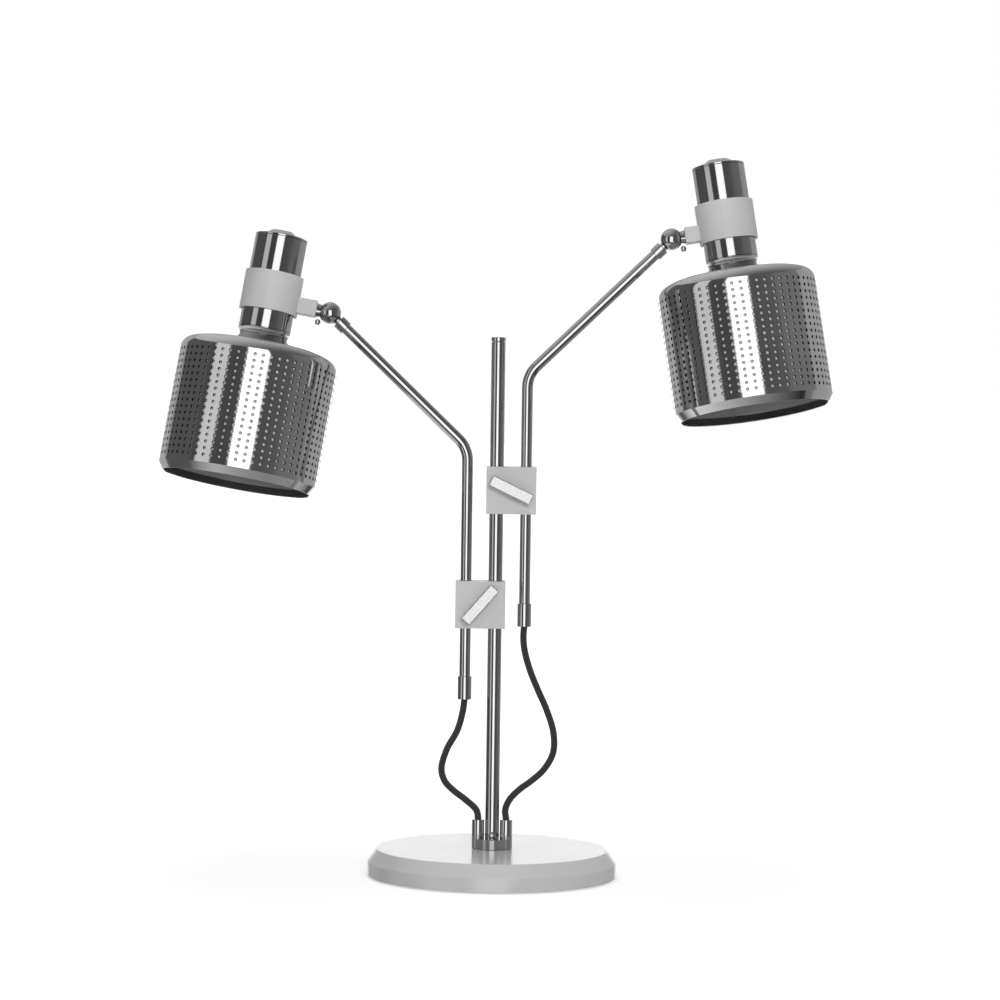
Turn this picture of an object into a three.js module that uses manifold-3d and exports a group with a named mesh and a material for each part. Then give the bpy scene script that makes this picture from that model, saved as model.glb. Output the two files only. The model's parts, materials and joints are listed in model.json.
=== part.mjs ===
// Double-head table lamp, in millimetres, +Z up, +X to the viewer's right, -Y towards the viewer.
// The origin is the centre of the base's underside. The stem stands on the Z axis, both arms lie in
// the plane y = 0, and the right lamp is the mirror of the left one but for its height and tilt.
import * as THREE from "three";
import { mergeVertices } from "three/addons/utils/BufferGeometryUtils.js";
import Module from "manifold-3d";

const wasm = await Module();
wasm.setup();

// Clearances
const GAP = 0.3; // between pieces that touch
const FIT = 0.15; // round the stem and the glands in the foot boss

// Base
const BASE_D = 225;
const BASE_H = 25; // from the table to the top face
const CHAMFER_W = 8.5;
const CHAMFER_H = 11.5;
const COVER_WALL = 2.5;
const COVER_LIFT = 1; // the cover's rim above the table
const PAD_INSET = 9.5; // from the base's side
const PAD_H = 1.7;
const PLATE_H = 2.5;
const BALLAST_ROOM = 12; // from the cover's wall to the ballast
const NUT_POCKET_D = 60;
const NUT_POCKET_TOP = 13;
const TERMINAL = { width: 40, depth: 18, height: 13, y: 46 };
const POCKET_TOP = 20; // ceiling of the pocket for the terminal block
const PLATE_SCREW_INSET = 37.5; // from the base's side
const PLATE_SCREW = { shankR: 1.7, shankTop: 14, headR: 3.3, headH: 1 };
const MAINS_CORD_D = 6; // the lead that the rear gland is bored for
const MAINS_GLAND = { z: 9.3, shankR: 4.5, headR: 5.6, headH: 3, tail: 5 };

// Stem and its foot
const STEM_D = 12.7;
const STEM_WALL = 1.5;
const STEM_TOP = 483;
const STEM_END_Z = 6; // lower end of the stem, inside the base
const STEM_CAP = { d: 13, h: 4, spigot: 12 };
const STEM_NUT = { flangeD: 40, flangeH: 2.5, acrossFlats: 19, h: 4 };
const BOSS_D = 30.2;
const BOSS_H = 9;
const BOSS_WEB = 0.4; // metal left between the stem's hole and a gland's
const GLAND_D = 11.2;
const GLAND_H = 26.5;
const GLAND_SPIGOT = { d: 8.6, h: 8 };
const GLAND_SCREW = { r: 1.9, proud: 1.2, shankR: 1.1, z: 12.4, turn: 25 };
const STEM_SCREW = { r: 3, proud: 2.2, shankR: 1.5, z: 12.7 };

// Cords
const CORD_D = 6;
const CORD_SIDES = 8;
const CORD_STEP = 6;
const CORD_IN_GLAND = 6.5; // how far a cord reaches into its gland and its ferrule

// Clamp blocks
const BLOCK_W = 45;
const BLOCK_H = 42.6;
const BLOCK_DEPTH = 22;
const BLOCK_BEVEL = 0.6;
const TUBE_SPACING = 26.5; // stem axis to arm axis
const LINER_WALL = 0.8;
const LINER_H = 41.6;
const RING_WALL = 0.8;
const RING_H = 16;
const LEVER = { span: 40, width: 9.5, depth: 8, bevel: 0.7, standOff: 5, bossR: 4.5, screwR: 3, raise: 1 };
const CLAMP_NUT = { acrossFlats: 10, h: 5 };

// Arms, the same on both sides
const ARM_D = 10;
const ARM_WALL = 1.2;
const ARM_DROP = 227; // from the bend to the ferrule's lower end
const ARM_BEND_R = 27;
const FERRULE_D = 12.6;
const FERRULE_H = 21;
const FERRULE_SEAT = 8; // from the ferrule's lower end to the arm tube's end
const SLEEVE_D = 12.6;
const SLEEVE_START = 11; // from the ball's centre
const SLEEVE_L = 9.3;
const SLEEVE_SEAT = 5; // depth of the stud's bore in the sleeve

// Ball joints
const BALL_D = 20;
const STUD_D = 8;
const CUP = { baseR: 6.7, mouthR: 5.8, mouth: 7.5, nippleR: 4.5, nippleL: 9 };
const JAW = { width: 7, depth: 7.7, mouth: 6.5 }; // the cup's lower lug, which the screw goes through
const THUMB_SCREW = { x: 9.6, shankR: 1.2, tip: 5.9, point: 4.5, headR: 2.6, headH: 4.4, neck: 0.4 };

// Heads. Heights are along the head's own axis, from the ball's level.
const HEAD_RAISE = 1; // what the head hangs above that level
const NECK_D = 47.6;
const NECK_WALL = 1.2;
const CAP_SHOULDER_Z = 58.6;
const CAP = { topR: 15, coneH: 4.4, rim: 1.6, wall: 1.5, spigot: 8 };
const COLLAR_D = 52.6;
const COLLAR_TOP_Z = 24.4;
const COLLAR_H = 35.2;
const LUG = 14; // the square lug's side
const LUG_END_GAP = 12.5; // ball's centre to the lug's end face
const SHADE_D = 143;
const SHADE_WALL = 1;
const SHADE_TOP_Z = -54.8; // where the straight wall starts
const SHADE_WALL_H = 105.4;
const SHOULDER_R = 11.5;
const DOME_SLOPE = THREE.MathUtils.degToRad(18.5);
const NECK_FILLET_R = 4.5;
const RIM_D = 134;
const RIM_H = 7.1;
const SPIGOT_H = 12;
const HOLDER = { bodyR: 18.5, boreR: 13.5, above: 34, below: 11, flangeH: 3, boreTop: 27 };
const CONTACT = { h: 3, pinR: 4, pinH: 2 };

// What differs between the two lamps. side is -1 on the left and +1 on the right. reach and rise run
// from the arm's bend to its ball, and offset from the ball's centre to the head's axis.
const LEFT = { blockZ: 246.4, bendZ: 387.2, reach: 125.3, rise: 119.8, offset: 55 };
const RIGHT = { blockZ: 349.7, bendZ: 453.7, reach: 127.5, rise: 123.5, offset: 50.8 };
const LAMPS = [
  { name: "left", side: -1, leverTurn: 49, tilt: 9.5, ...LEFT },
  { name: "right", side: 1, leverTurn: -25.5, tilt: 9, ...RIGHT },
];
const HEAD_PITCH = 8.4; // both shades open a little towards the viewer

// Each cord's route between its straight ends, as [x, z] with x away from the stem, from the gland up
const CORD_ROUTES = {
  left: [[14.4, 59.8], [24.1, 68.9], [35.7, 77.7], [43.2, 85.6], [46.4, 96.5], [42.1, 113.9],
    [32.4, 132.2], [27.8, 149.5]],
  right: [[11.7, 60.1], [15.3, 69.3], [23.8, 78.5], [35.5, 87.4], [46.1, 97.4], [54.2, 112.5],
    [54.4, 130.5], [48, 151.2], [39.8, 169.4], [32.3, 187.4], [27.2, 205.5], [26, 217]],
};

// Segments round a full circle
const ROUND_BASE = 60;
const ROUND_SHADE = 44;
const ROUND_NECK = 32;
const ROUND_TUBE = 20;
const ROUND_SMALL = 12;
const ARC_STEPS = 4;

const finish = (color, roughness, metalness) =>
  new THREE.MeshStandardMaterial({ color, roughness, metalness });
const FINISH = {
  satinPaint: finish(0xc4c4c4, 0.45, 0.1),
  darkNickel: finish(0x7c7c7e, 0.12, 1),
  brushedSteel: finish(0xdcdcdc, 0.3, 1),
  zincSteel: finish(0x9a9a98, 0.4, 1),
  castIron: finish(0x55565a, 0.8, 0.6),
  blackNylon: finish(0x1c1c1e, 0.6, 0),
  whitePlastic: finish(0xd8d6d0, 0.5, 0),
  porcelain: finish(0xe8e6e0, 0.3, 0),
  brass: finish(0xb08d4a, 0.35, 1),
  felt: finish(0x2a2a2c, 0.95, 0),
  fabricCord: finish(0x2b2b2d, 0.9, 0),
};

const lamp = new THREE.Group();

// A three.js geometry as a closed manifold-3d solid that faces out.
function solid(geometry) {
  const loose = geometry.index ? geometry.toNonIndexed() : geometry;
  const bare = new THREE.BufferGeometry();
  bare.setAttribute("position", loose.getAttribute("position"));
  const merged = mergeVertices(bare, 1e-4);
  const corners = new Uint32Array(merged.index.array);
  const make = () => new wasm.Manifold(new wasm.Mesh({
    numProp: 3,
    vertProperties: merged.attributes.position.array,
    triVerts: corners,
  }));
  const made = make();
  if (made.volume() > 0) return made;
  for (let i = 0; i < corners.length; i += 3) {
    [corners[i + 1], corners[i + 2]] = [corners[i + 2], corners[i + 1]];
  }
  return make();
}

// A solid as a named mesh in a group.
function add(group, name, made, look) {
  const { vertProperties, triVerts } = made.getMesh();
  const geometry = new THREE.BufferGeometry();
  geometry.setAttribute("position", new THREE.BufferAttribute(vertProperties, 3));
  geometry.setIndex(new THREE.BufferAttribute(triVerts, 1));
  geometry.computeVertexNormals();
  const mesh = new THREE.Mesh(geometry, look);
  mesh.name = name;
  group.add(mesh);
  return mesh;
}

// A profile of [radius, z] points turned round Z. It starts and ends on the axis, or is closed.
function turned(profile, segments) {
  const points = profile.map(([r, z]) => new THREE.Vector2(r, z));
  const onAxis = profile[0][0] === 0 && profile[profile.length - 1][0] === 0;
  if (!onAxis) points.push(points[0].clone());
  return new THREE.LatheGeometry(points, segments).rotateX(Math.PI / 2);
}

const rod = (r, z0, z1, segments = ROUND_SMALL) =>
  turned([[0, z0], [r, z0], [r, z1], [0, z1]], segments);

const ring = (rOut, rIn, z0, z1, segments = ROUND_TUBE) =>
  turned([[rIn, z0], [rOut, z0], [rOut, z1], [rIn, z1]], segments);

function box(x0, x1, y0, y1, z0, z1) {
  const made = new THREE.BoxGeometry(x1 - x0, y1 - y0, z1 - z0);
  return made.translate((x0 + x1) / 2, (y0 + y1) / 2, (z0 + z1) / 2);
}

function hexagon(acrossFlats, z0, z1) {
  return rod(acrossFlats / Math.sqrt(3), z0, z1, 6);
}

// A slab in the XZ plane, bevelled along its front and back edges, from y0 back to y1.
function slab(width, height, y0, y1, bevel) {
  const w = width / 2 - bevel;
  const h = height / 2 - bevel;
  const outline = new THREE.Shape([[-w, -h], [w, -h], [w, h], [-w, h]].map(
    ([x, y]) => new THREE.Vector2(x, y)));
  const made = new THREE.ExtrudeGeometry(outline, {
    depth: y1 - y0 - 2 * bevel,
    bevelSize: bevel,
    bevelThickness: bevel,
    bevelSegments: 2,
  });
  return made.rotateX(Math.PI / 2).translate(0, y1 - bevel, 0);
}

// Z-axis geometry turned to run along -Y, from the axis towards the viewer.
const alongFront = (geometry) => geometry.rotateX(Math.PI / 2);
const raised = (geometry) => geometry.translate(0, 0, LEVER.raise);

// Points on an arc round (cx, cy), from one angle to another, in radians.
function arc(cx, cy, r, from, to, steps = ARC_STEPS) {
  const points = [];
  for (let i = 0; i <= steps; i++) {
    const a = from + ((to - from) * i) / steps;
    points.push([cx + r * Math.cos(a), cy + r * Math.sin(a)]);
  }
  return points;
}

// A path through given stations, with one extrusion step between each two. The directions at the
// stations may be given too.
class StationPath extends THREE.Curve {
  constructor(stations, directions) {
    super();
    this.stations = stations;
    this.directions = directions;
  }

  getTangent(t, target = new THREE.Vector3()) {
    if (!this.directions) return super.getTangent(t, target);
    return target.copy(this.directions[Math.round(t * (this.directions.length - 1))]);
  }

  getUtoTmapping(u) {
    return u;
  }

  getPoint(t, target = new THREE.Vector3()) {
    const place = Math.min(Math.max(t, 0), 1) * (this.stations.length - 1);
    const i = Math.min(Math.floor(place), this.stations.length - 2);
    return target.lerpVectors(this.stations[i], this.stations[i + 1], place - i);
  }
}

function circleShape(r, sides) {
  const points = [];
  for (let i = 0; i < sides; i++) {
    const a = (2 * Math.PI * i) / sides;
    points.push(new THREE.Vector2(r * Math.cos(a), r * Math.sin(a)));
  }
  return new THREE.Shape(points);
}

function sweep(section, stations, directions) {
  return new THREE.ExtrudeGeometry(section, {
    steps: stations.length - 1,
    extrudePath: new StationPath(stations, directions),
  });
}

const ballSolid = (r) => solid(new THREE.SphereGeometry(r, 20, 12));

// Heights in the base that several pieces share
const PLATE_Z = PAD_H + GAP;
const BALLAST_Z = PLATE_Z + PLATE_H + GAP;
const COVER_INNER_TOP = BASE_H - COVER_WALL;
const FOOT_Z = BASE_H + GAP; // what stands on the base's top face
const GLAND_X = STEM_D / 2 + GLAND_D / 2 + BOSS_WEB + 2 * FIT;
const GLAND_TOP = BASE_H + GLAND_H;
const STEM_R = STEM_D / 2;

function plateScrewPlaces() {
  return [0, 1, 2].map((i) => {
    const a = THREE.MathUtils.degToRad(30 + 120 * i);
    const r = BASE_D / 2 - PLATE_SCREW_INSET;
    return [r * Math.cos(a), r * Math.sin(a)];
  });
}

function makeBase() {
  const outerR = BASE_D / 2;
  const innerR = outerR - COVER_WALL;
  const chamferTurn = Math.atan2(CHAMFER_W, CHAMFER_H);
  const sideIn = COVER_WALL * Math.tan(chamferTurn / 2);
  const topIn = COVER_WALL * Math.tan((Math.PI / 2 - chamferTurn) / 2);
  const cover = solid(turned([
    [0, BASE_H],
    [outerR - CHAMFER_W, BASE_H],
    [outerR, BASE_H - CHAMFER_H],
    [outerR, COVER_LIFT],
    [innerR, COVER_LIFT],
    [innerR, BASE_H - CHAMFER_H - sideIn],
    [outerR - CHAMFER_W - topIn, COVER_INNER_TOP],
    [0, COVER_INNER_TOP],
  ], ROUND_BASE));
  const spigotHole = (side) =>
    solid(rod(GLAND_SPIGOT.d / 2 + FIT, 0, BASE_H + 1).translate(side * GLAND_X, 0, 0));
  const mainsHole = solid(
    alongFront(rod(MAINS_GLAND.shankR + GAP, 0, BASE_D / 2)).rotateZ(Math.PI)
      .translate(0, BASE_D / 4, MAINS_GLAND.z));
  add(lamp, "base_cover", cover
    .subtract(solid(rod(STEM_R + FIT, 0, BASE_H + 1, ROUND_TUBE)))
    .subtract(spigotHole(-1))
    .subtract(spigotHole(1))
    .subtract(mainsHole), FINISH.satinPaint);

  add(lamp, "foot_pad", solid(rod(outerR - PAD_INSET, 0, PAD_H, ROUND_BASE)), FINISH.felt);

  const plateTop = PLATE_Z + PLATE_H;
  let plate = solid(rod(innerR - GAP, PLATE_Z, plateTop, ROUND_BASE));
  let ballast = solid(
    rod(innerR - BALLAST_ROOM, BALLAST_Z, COVER_INNER_TOP - GAP, ROUND_BASE));
  const headTop = PLATE_Z + GAP / 3 + PLATE_SCREW.headH;
  plateScrewPlaces().forEach(([x, y], i) => {
    const head = solid(rod(PLATE_SCREW.headR + GAP, 0, headTop + GAP).translate(x, y, 0));
    const shank = solid(
      rod(PLATE_SCREW.shankR + GAP, 0, PLATE_SCREW.shankTop + GAP).translate(x, y, 0));
    plate = plate.subtract(head).subtract(shank);
    ballast = ballast.subtract(shank);
    const screw = turned([
      [0, headTop - PLATE_SCREW.headH],
      [PLATE_SCREW.headR, headTop - PLATE_SCREW.headH],
      [PLATE_SCREW.headR, headTop],
      [PLATE_SCREW.shankR, headTop],
      [PLATE_SCREW.shankR, PLATE_SCREW.shankTop],
      [0, PLATE_SCREW.shankTop],
    ], ROUND_SMALL).translate(x, y, 0);
    add(lamp, `plate_screw_${i + 1}`, solid(screw), FINISH.zincSteel);
  });
  add(lamp, "bottom_plate", plate, FINISH.zincSteel);

  const slotHalf = GLAND_X + GLAND_D / 2 + 1;
  const slotY = GLAND_D / 2 + 1;
  const blockNear = TERMINAL.y - TERMINAL.depth / 2;
  const blockFar = TERMINAL.y + TERMINAL.depth / 2;
  const half = TERMINAL.width / 2;
  ballast = ballast
    .subtract(solid(rod(NUT_POCKET_D / 2, 0, NUT_POCKET_TOP, ROUND_NECK)))
    .subtract(solid(box(-slotHalf, slotHalf, -slotY, slotY, 0, BASE_H)))
    .subtract(solid(box(-half - 2, half + 2, blockNear - 2, blockFar + 2, 0, POCKET_TOP)))
    .subtract(solid(box(-MAINS_GLAND.headR, MAINS_GLAND.headR, blockFar, BASE_D / 2,
      0, 2 * MAINS_GLAND.z)));
  add(lamp, "ballast_weight", ballast, FINISH.castIron);
  add(lamp, "terminal_block", solid(box(-half, half, blockNear, blockFar,
    POCKET_TOP - GAP - TERMINAL.height, POCKET_TOP - GAP)), FINISH.whitePlastic);

  const bore = MAINS_CORD_D / 2 + GAP;
  const wallFace = outerR + GAP;
  const gland = turned([
    [bore, wallFace - COVER_WALL - MAINS_GLAND.tail],
    [MAINS_GLAND.shankR, wallFace - COVER_WALL - MAINS_GLAND.tail],
    [MAINS_GLAND.shankR, wallFace],
    [MAINS_GLAND.headR, wallFace],
    [MAINS_GLAND.headR - 1, wallFace + MAINS_GLAND.headH],
    [bore, wallFace + MAINS_GLAND.headH],
  ], ROUND_TUBE);
  add(lamp, "mains_gland", solid(gland.rotateX(-Math.PI / 2).translate(0, 0, MAINS_GLAND.z)),
    FINISH.blackNylon);
}

function makeStem() {
  const bore = STEM_R - STEM_WALL;
  const screwZ = BASE_H + STEM_SCREW.z;
  const screwHole = alongFront(rod(STEM_SCREW.shankR + GAP, 0, STEM_D)).translate(0, 0, screwZ);
  const tube = solid(ring(STEM_R, bore, STEM_END_Z, STEM_TOP));
  add(lamp, "stem", tube.subtract(solid(screwHole)), FINISH.darkNickel);

  const capZ = STEM_TOP + GAP;
  add(lamp, "stem_cap", solid(turned([
    [0, STEM_TOP - STEM_CAP.spigot],
    [bore - GAP, STEM_TOP - STEM_CAP.spigot],
    [bore - GAP, capZ],
    [STEM_CAP.d / 2, capZ],
    [STEM_CAP.d / 2, capZ + STEM_CAP.h - 0.5],
    [STEM_CAP.d / 2 - 0.5, capZ + STEM_CAP.h],
    [0, capZ + STEM_CAP.h],
  ], ROUND_TUBE)), FINISH.darkNickel);

  const flangeTop = NUT_POCKET_TOP - GAP;
  const flangeZ = flangeTop - STEM_NUT.flangeH;
  add(lamp, "stem_nut", solid(rod(STEM_NUT.flangeD / 2, flangeZ, flangeTop, ROUND_NECK))
    .add(solid(hexagon(STEM_NUT.acrossFlats, flangeZ - STEM_NUT.h, flangeZ + 1)))
    .subtract(solid(rod(STEM_R + GAP, 0, BASE_H, ROUND_TUBE))), FINISH.zincSteel);

  let boss = solid(rod(BOSS_D / 2, FOOT_Z, FOOT_Z + BOSS_H, ROUND_NECK))
    .subtract(solid(rod(STEM_R + FIT, 0, STEM_TOP, ROUND_TUBE)));
  for (const side of [-1, 1]) {
    boss = boss.subtract(solid(
      rod(GLAND_D / 2 + FIT, 0, STEM_TOP, ROUND_TUBE).translate(side * GLAND_X, 0, 0)));
  }
  add(lamp, "stem_foot_boss", boss, FINISH.darkNickel);

  // domed screw that pins the stem to its foot
  const dome = arc(0, 0, STEM_SCREW.r, 0, Math.PI / 2)
    .map(([r, z]) => [Math.max(r, 0), STEM_R + GAP + (z * STEM_SCREW.proud) / STEM_SCREW.r]);
  dome[dome.length - 1][0] = 0;
  add(lamp, "stem_screw", solid(alongFront(turned([
    [0, bore],
    [STEM_SCREW.shankR, bore],
    [STEM_SCREW.shankR, STEM_R + GAP],
    ...dome,
  ], ROUND_SMALL)).translate(0, 0, screwZ)), FINISH.darkNickel);
}

// A cord gland beside the stem, with the small screw that grips the cord in it.
function makeGland({ name, side }) {
  const bore = CORD_D / 2 + GAP;
  const turn = THREE.MathUtils.degToRad(GLAND_SCREW.turn) * -side;
  const screwZ = BASE_H + GLAND_SCREW.z;
  const place = (geometry) =>
    alongFront(geometry).rotateZ(turn).translate(side * GLAND_X, 0, screwZ);
  const hole = solid(place(rod(GLAND_SCREW.shankR + GAP, 0, GLAND_D)));
  const tube = solid(turned([
    [bore, BASE_H - GLAND_SPIGOT.h],
    [GLAND_SPIGOT.d / 2, BASE_H - GLAND_SPIGOT.h],
    [GLAND_SPIGOT.d / 2, FOOT_Z],
    [GLAND_D / 2, FOOT_Z],
    [GLAND_D / 2, GLAND_TOP],
    [bore, GLAND_TOP],
  ], ROUND_TUBE).translate(side * GLAND_X, 0, 0));
  add(lamp, `${name}_gland`, tube.subtract(hole), FINISH.darkNickel);
  const face = GLAND_D / 2 + GAP;
  add(lamp, `${name}_gland_screw`, solid(place(turned([
    [0, bore + GAP],
    [GLAND_SCREW.shankR, bore + GAP],
    [GLAND_SCREW.shankR, face],
    [GLAND_SCREW.r, face],
    [GLAND_SCREW.r - 0.4, face + GLAND_SCREW.proud],
    [0, face + GLAND_SCREW.proud],
  ], ROUND_SMALL))), FINISH.darkNickel);
}

// The block that joins one arm to the stem. Its own frame is centred between the two tubes.
function makeClamp({ name, side, blockZ, leverTurn }) {
  const group = new THREE.Group();
  group.position.set((side * TUBE_SPACING) / 2, 0, blockZ);
  lamp.add(group);
  const stemX = (-side * TUBE_SPACING) / 2;
  const armX = (side * TUBE_SPACING) / 2;
  const linerR = STEM_R + GAP + LINER_WALL;
  const ringR = ARM_D / 2 + GAP + RING_WALL;
  const half = BLOCK_H / 2;
  const face = BLOCK_DEPTH / 2;

  const bores = solid(rod(linerR + GAP, -half - 1, half + 1, ROUND_TUBE).translate(stemX, 0, 0))
    .add(solid(rod(ringR + GAP, -half - 1, half + 1, ROUND_TUBE).translate(armX, 0, 0)))
    .add(solid(raised(alongFront(rod(LEVER.screwR + GAP, -BLOCK_DEPTH, BLOCK_DEPTH)))));
  const front = solid(slab(BLOCK_W, BLOCK_H, -face, -GAP / 2, BLOCK_BEVEL));
  const rear = solid(slab(BLOCK_W, BLOCK_H, GAP / 2, face, BLOCK_BEVEL));
  add(group, `${name}_front_jaw`, front.subtract(bores), FINISH.satinPaint);
  add(group, `${name}_rear_jaw`, rear.subtract(bores), FINISH.satinPaint);

  add(group, `${name}_stem_liner`, solid(
    ring(linerR, STEM_R + GAP, -LINER_H / 2, LINER_H / 2).translate(stemX, 0, 0)),
  FINISH.blackNylon);
  add(group, `${name}_arm_ring`, solid(
    ring(ringR, ARM_D / 2 + GAP, 0, RING_H).translate(armX, 0, 0)), FINISH.blackNylon);

  const barBack = -face - LEVER.standOff;
  const bar = slab(LEVER.span, LEVER.width, barBack - LEVER.depth, barBack, LEVER.bevel);
  bar.rotateY(THREE.MathUtils.degToRad(-leverTurn));
  const nutFace = face + GAP;
  add(group, `${name}_lever`, solid(raised(bar))
    .add(solid(raised(alongFront(rod(LEVER.bossR, face + GAP, 1 - barBack)))))
    .add(solid(raised(alongFront(rod(LEVER.screwR, -nutFace - CLAMP_NUT.h - 1, face + 1))))),
  FINISH.brushedSteel);
  const nut = hexagon(CLAMP_NUT.acrossFlats, nutFace, nutFace + CLAMP_NUT.h);
  add(group, `${name}_clamp_nut`, solid(raised(nut.rotateX(-Math.PI / 2)))
    .subtract(solid(raised(alongFront(rod(LEVER.screwR + GAP, -2 * BLOCK_DEPTH, 0))))),
  FINISH.zincSteel);
}

const ballOf = ({ side, bendZ, reach, rise }) =>
  new THREE.Vector3(side * (TUBE_SPACING + reach), 0, bendZ + rise);

function makeArm(which) {
  const { name, side, bendZ, reach, rise } = which;
  const armX = side * TUBE_SPACING;
  const endZ = bendZ - ARM_DROP;
  const lean = Math.atan2(reach, rise);
  const tangent = ARM_BEND_R * Math.tan(lean / 2);
  const ball = ballOf(which);
  const tubeEnd = SLEEVE_START + SLEEVE_SEAT + GAP;
  const bend = arc(0, 0, ARM_BEND_R, 0, lean, 8).map(([x, z]) => new THREE.Vector3(
    armX + side * (ARM_BEND_R - x), 0, bendZ - tangent + z));
  const stations = [
    new THREE.Vector3(armX, 0, endZ + FERRULE_SEAT + GAP),
    ...bend,
    new THREE.Vector3(ball.x - side * tubeEnd * Math.sin(lean), 0,
      ball.z - tubeEnd * Math.cos(lean)),
  ];
  const wall = circleShape(ARM_D / 2, ROUND_TUBE);
  wall.holes.push(circleShape(ARM_D / 2 - ARM_WALL, ROUND_TUBE));
  add(lamp, `${name}_arm_tube`, solid(sweep(wall, stations)), FINISH.darkNickel);

  const cordBore = CORD_D / 2 + GAP;
  const tubeBore = ARM_D / 2 + GAP;
  add(lamp, `${name}_ferrule`, solid(turned([
    [cordBore, 0],
    [FERRULE_D / 2, 0],
    [FERRULE_D / 2, FERRULE_H],
    [tubeBore, FERRULE_H],
    [tubeBore, FERRULE_SEAT],
    [cordBore, FERRULE_SEAT],
  ], ROUND_TUBE).translate(armX, 0, endZ)), FINISH.darkNickel);

  // From here on, Z runs from the ball's centre down the arm.
  const downArm = new THREE.Group();
  downArm.position.copy(ball);
  downArm.rotation.y = Math.PI + side * lean;
  lamp.add(downArm);
  const studBore = STUD_D / 2 + GAP;
  const sleeveEnd = SLEEVE_START + SLEEVE_L;
  add(downArm, `${name}_arm_sleeve`, solid(turned([
    [studBore, SLEEVE_START],
    [SLEEVE_D / 2, SLEEVE_START],
    [SLEEVE_D / 2, sleeveEnd],
    [tubeBore, sleeveEnd],
    [tubeBore, SLEEVE_START + SLEEVE_SEAT],
    [studBore, SLEEVE_START + SLEEVE_SEAT],
  ], ROUND_TUBE)), FINISH.darkNickel);
  add(downArm, `${name}_ball`, ballSolid(BALL_D / 2)
    .add(solid(rod(STUD_D / 2, 0, SLEEVE_START + SLEEVE_SEAT - GAP, ROUND_TUBE))),
  FINISH.darkNickel);
}

// Outer and inner outline of the shade, from its neck spigot out to the rim and back inside.
function shadeProfile() {
  const wallR = SHADE_D / 2;
  const neckR = NECK_D / 2;
  const spigotR = neckR - NECK_WALL - GAP;
  const shoulderX = wallR - SHOULDER_R;
  const domeAngle = Math.PI / 2 - DOME_SLOPE;
  const outerShoulder = arc(shoulderX, SHADE_TOP_Z, SHOULDER_R, domeAngle, 0);
  const innerShoulder = arc(shoulderX, SHADE_TOP_Z, SHOULDER_R - SHADE_WALL, 0, domeAngle);
  const domeZ = ([r, z], at) => z + (r - at) * Math.tan(DOME_SLOPE);
  const filletX = neckR + NECK_FILLET_R;
  const touchR = filletX - NECK_FILLET_R * Math.sin(DOME_SLOPE);
  const filletZ = domeZ(outerShoulder[0], touchR) + NECK_FILLET_R * Math.cos(DOME_SLOPE);
  const fillet = arc(filletX, filletZ, NECK_FILLET_R, Math.PI, 1.5 * Math.PI - DOME_SLOPE);
  const innerShoulderEnd = innerShoulder[innerShoulder.length - 1];
  const taperZ = SHADE_TOP_Z - SHADE_WALL_H;
  const rimR = RIM_D / 2;
  const inner = spigotR - SHADE_WALL;
  return {
    neckZ: filletZ,
    spigotInner: inner,
    points: [
      [inner, filletZ + SPIGOT_H],
      [spigotR, filletZ + SPIGOT_H],
      [spigotR, filletZ],
      ...fillet,
      ...outerShoulder,
      [wallR, taperZ],
      [rimR, taperZ - RIM_H],
      [rimR - SHADE_WALL, taperZ - RIM_H],
      [wallR - SHADE_WALL, taperZ],
      ...innerShoulder,
      [touchR, domeZ(innerShoulderEnd, touchR)],
      [inner, filletZ - 1.5 * SHADE_WALL],
    ],
  };
}

// A head hangs on the ball: the cup tilts, and the collar with all that it holds rolls in the cup.
// In these groups +X runs from the head's axis to the ball, and the ball's centre is the origin.
function makeHead(which) {
  const { name, side, tilt } = which;
  const tilted = new THREE.Group();
  tilted.position.copy(ballOf(which));
  tilted.rotation.y = -side * THREE.MathUtils.degToRad(tilt);
  lamp.add(tilted);
  const facing = side > 0 ? Math.PI : 0;
  const joint = new THREE.Group();
  joint.rotation.z = facing;
  tilted.add(joint);
  const pitched = new THREE.Group();
  pitched.rotation.x = -THREE.MathUtils.degToRad(HEAD_PITCH);
  tilted.add(pitched);
  const head = new THREE.Group();
  head.rotation.z = facing;
  pitched.add(head);
  makeJoint(name, joint);
  makeShadeAndNeck(which, head);
}

function makeJoint(name, group) {
  const back = LUG_END_GAP - GAP;
  const screwHole = rod(THUMB_SCREW.shankR + GAP, -2 * JAW.depth, 0);
  const cup = solid(turned([
    [0, 0],
    [CUP.mouthR, 0],
    [CUP.mouthR, CUP.mouth],
    [CUP.baseR, back],
    [CUP.nippleR, back],
    [CUP.nippleR, back + CUP.nippleL],
    [0, back + CUP.nippleL],
  ], ROUND_TUBE).rotateY(-Math.PI / 2));
  const jaw = box(-back, -JAW.mouth, -JAW.width / 2, JAW.width / 2, -JAW.depth, 0);
  add(group, `${name}_ball_cup`, cup
    .add(solid(jaw))
    .subtract(ballSolid(BALL_D / 2 + GAP))
    .subtract(solid(screwHole.translate(-THUMB_SCREW.x, 0, 0))), FINISH.darkNickel);
  const headTop = -JAW.depth - THUMB_SCREW.neck;
  add(group, `${name}_thumb_screw`, solid(turned([
    [0, -THUMB_SCREW.point],
    [THUMB_SCREW.shankR / 4, -THUMB_SCREW.point],
    [THUMB_SCREW.shankR, -THUMB_SCREW.tip],
    [THUMB_SCREW.shankR, headTop],
    [THUMB_SCREW.headR - 0.4, headTop],
    [THUMB_SCREW.headR, headTop - THUMB_SCREW.headH / 2],
    [THUMB_SCREW.headR - 0.8, headTop - THUMB_SCREW.headH],
    [0, headTop - THUMB_SCREW.headH],
  ], ROUND_SMALL).translate(-THUMB_SCREW.x, 0, 0)), FINISH.darkNickel);
}

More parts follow.
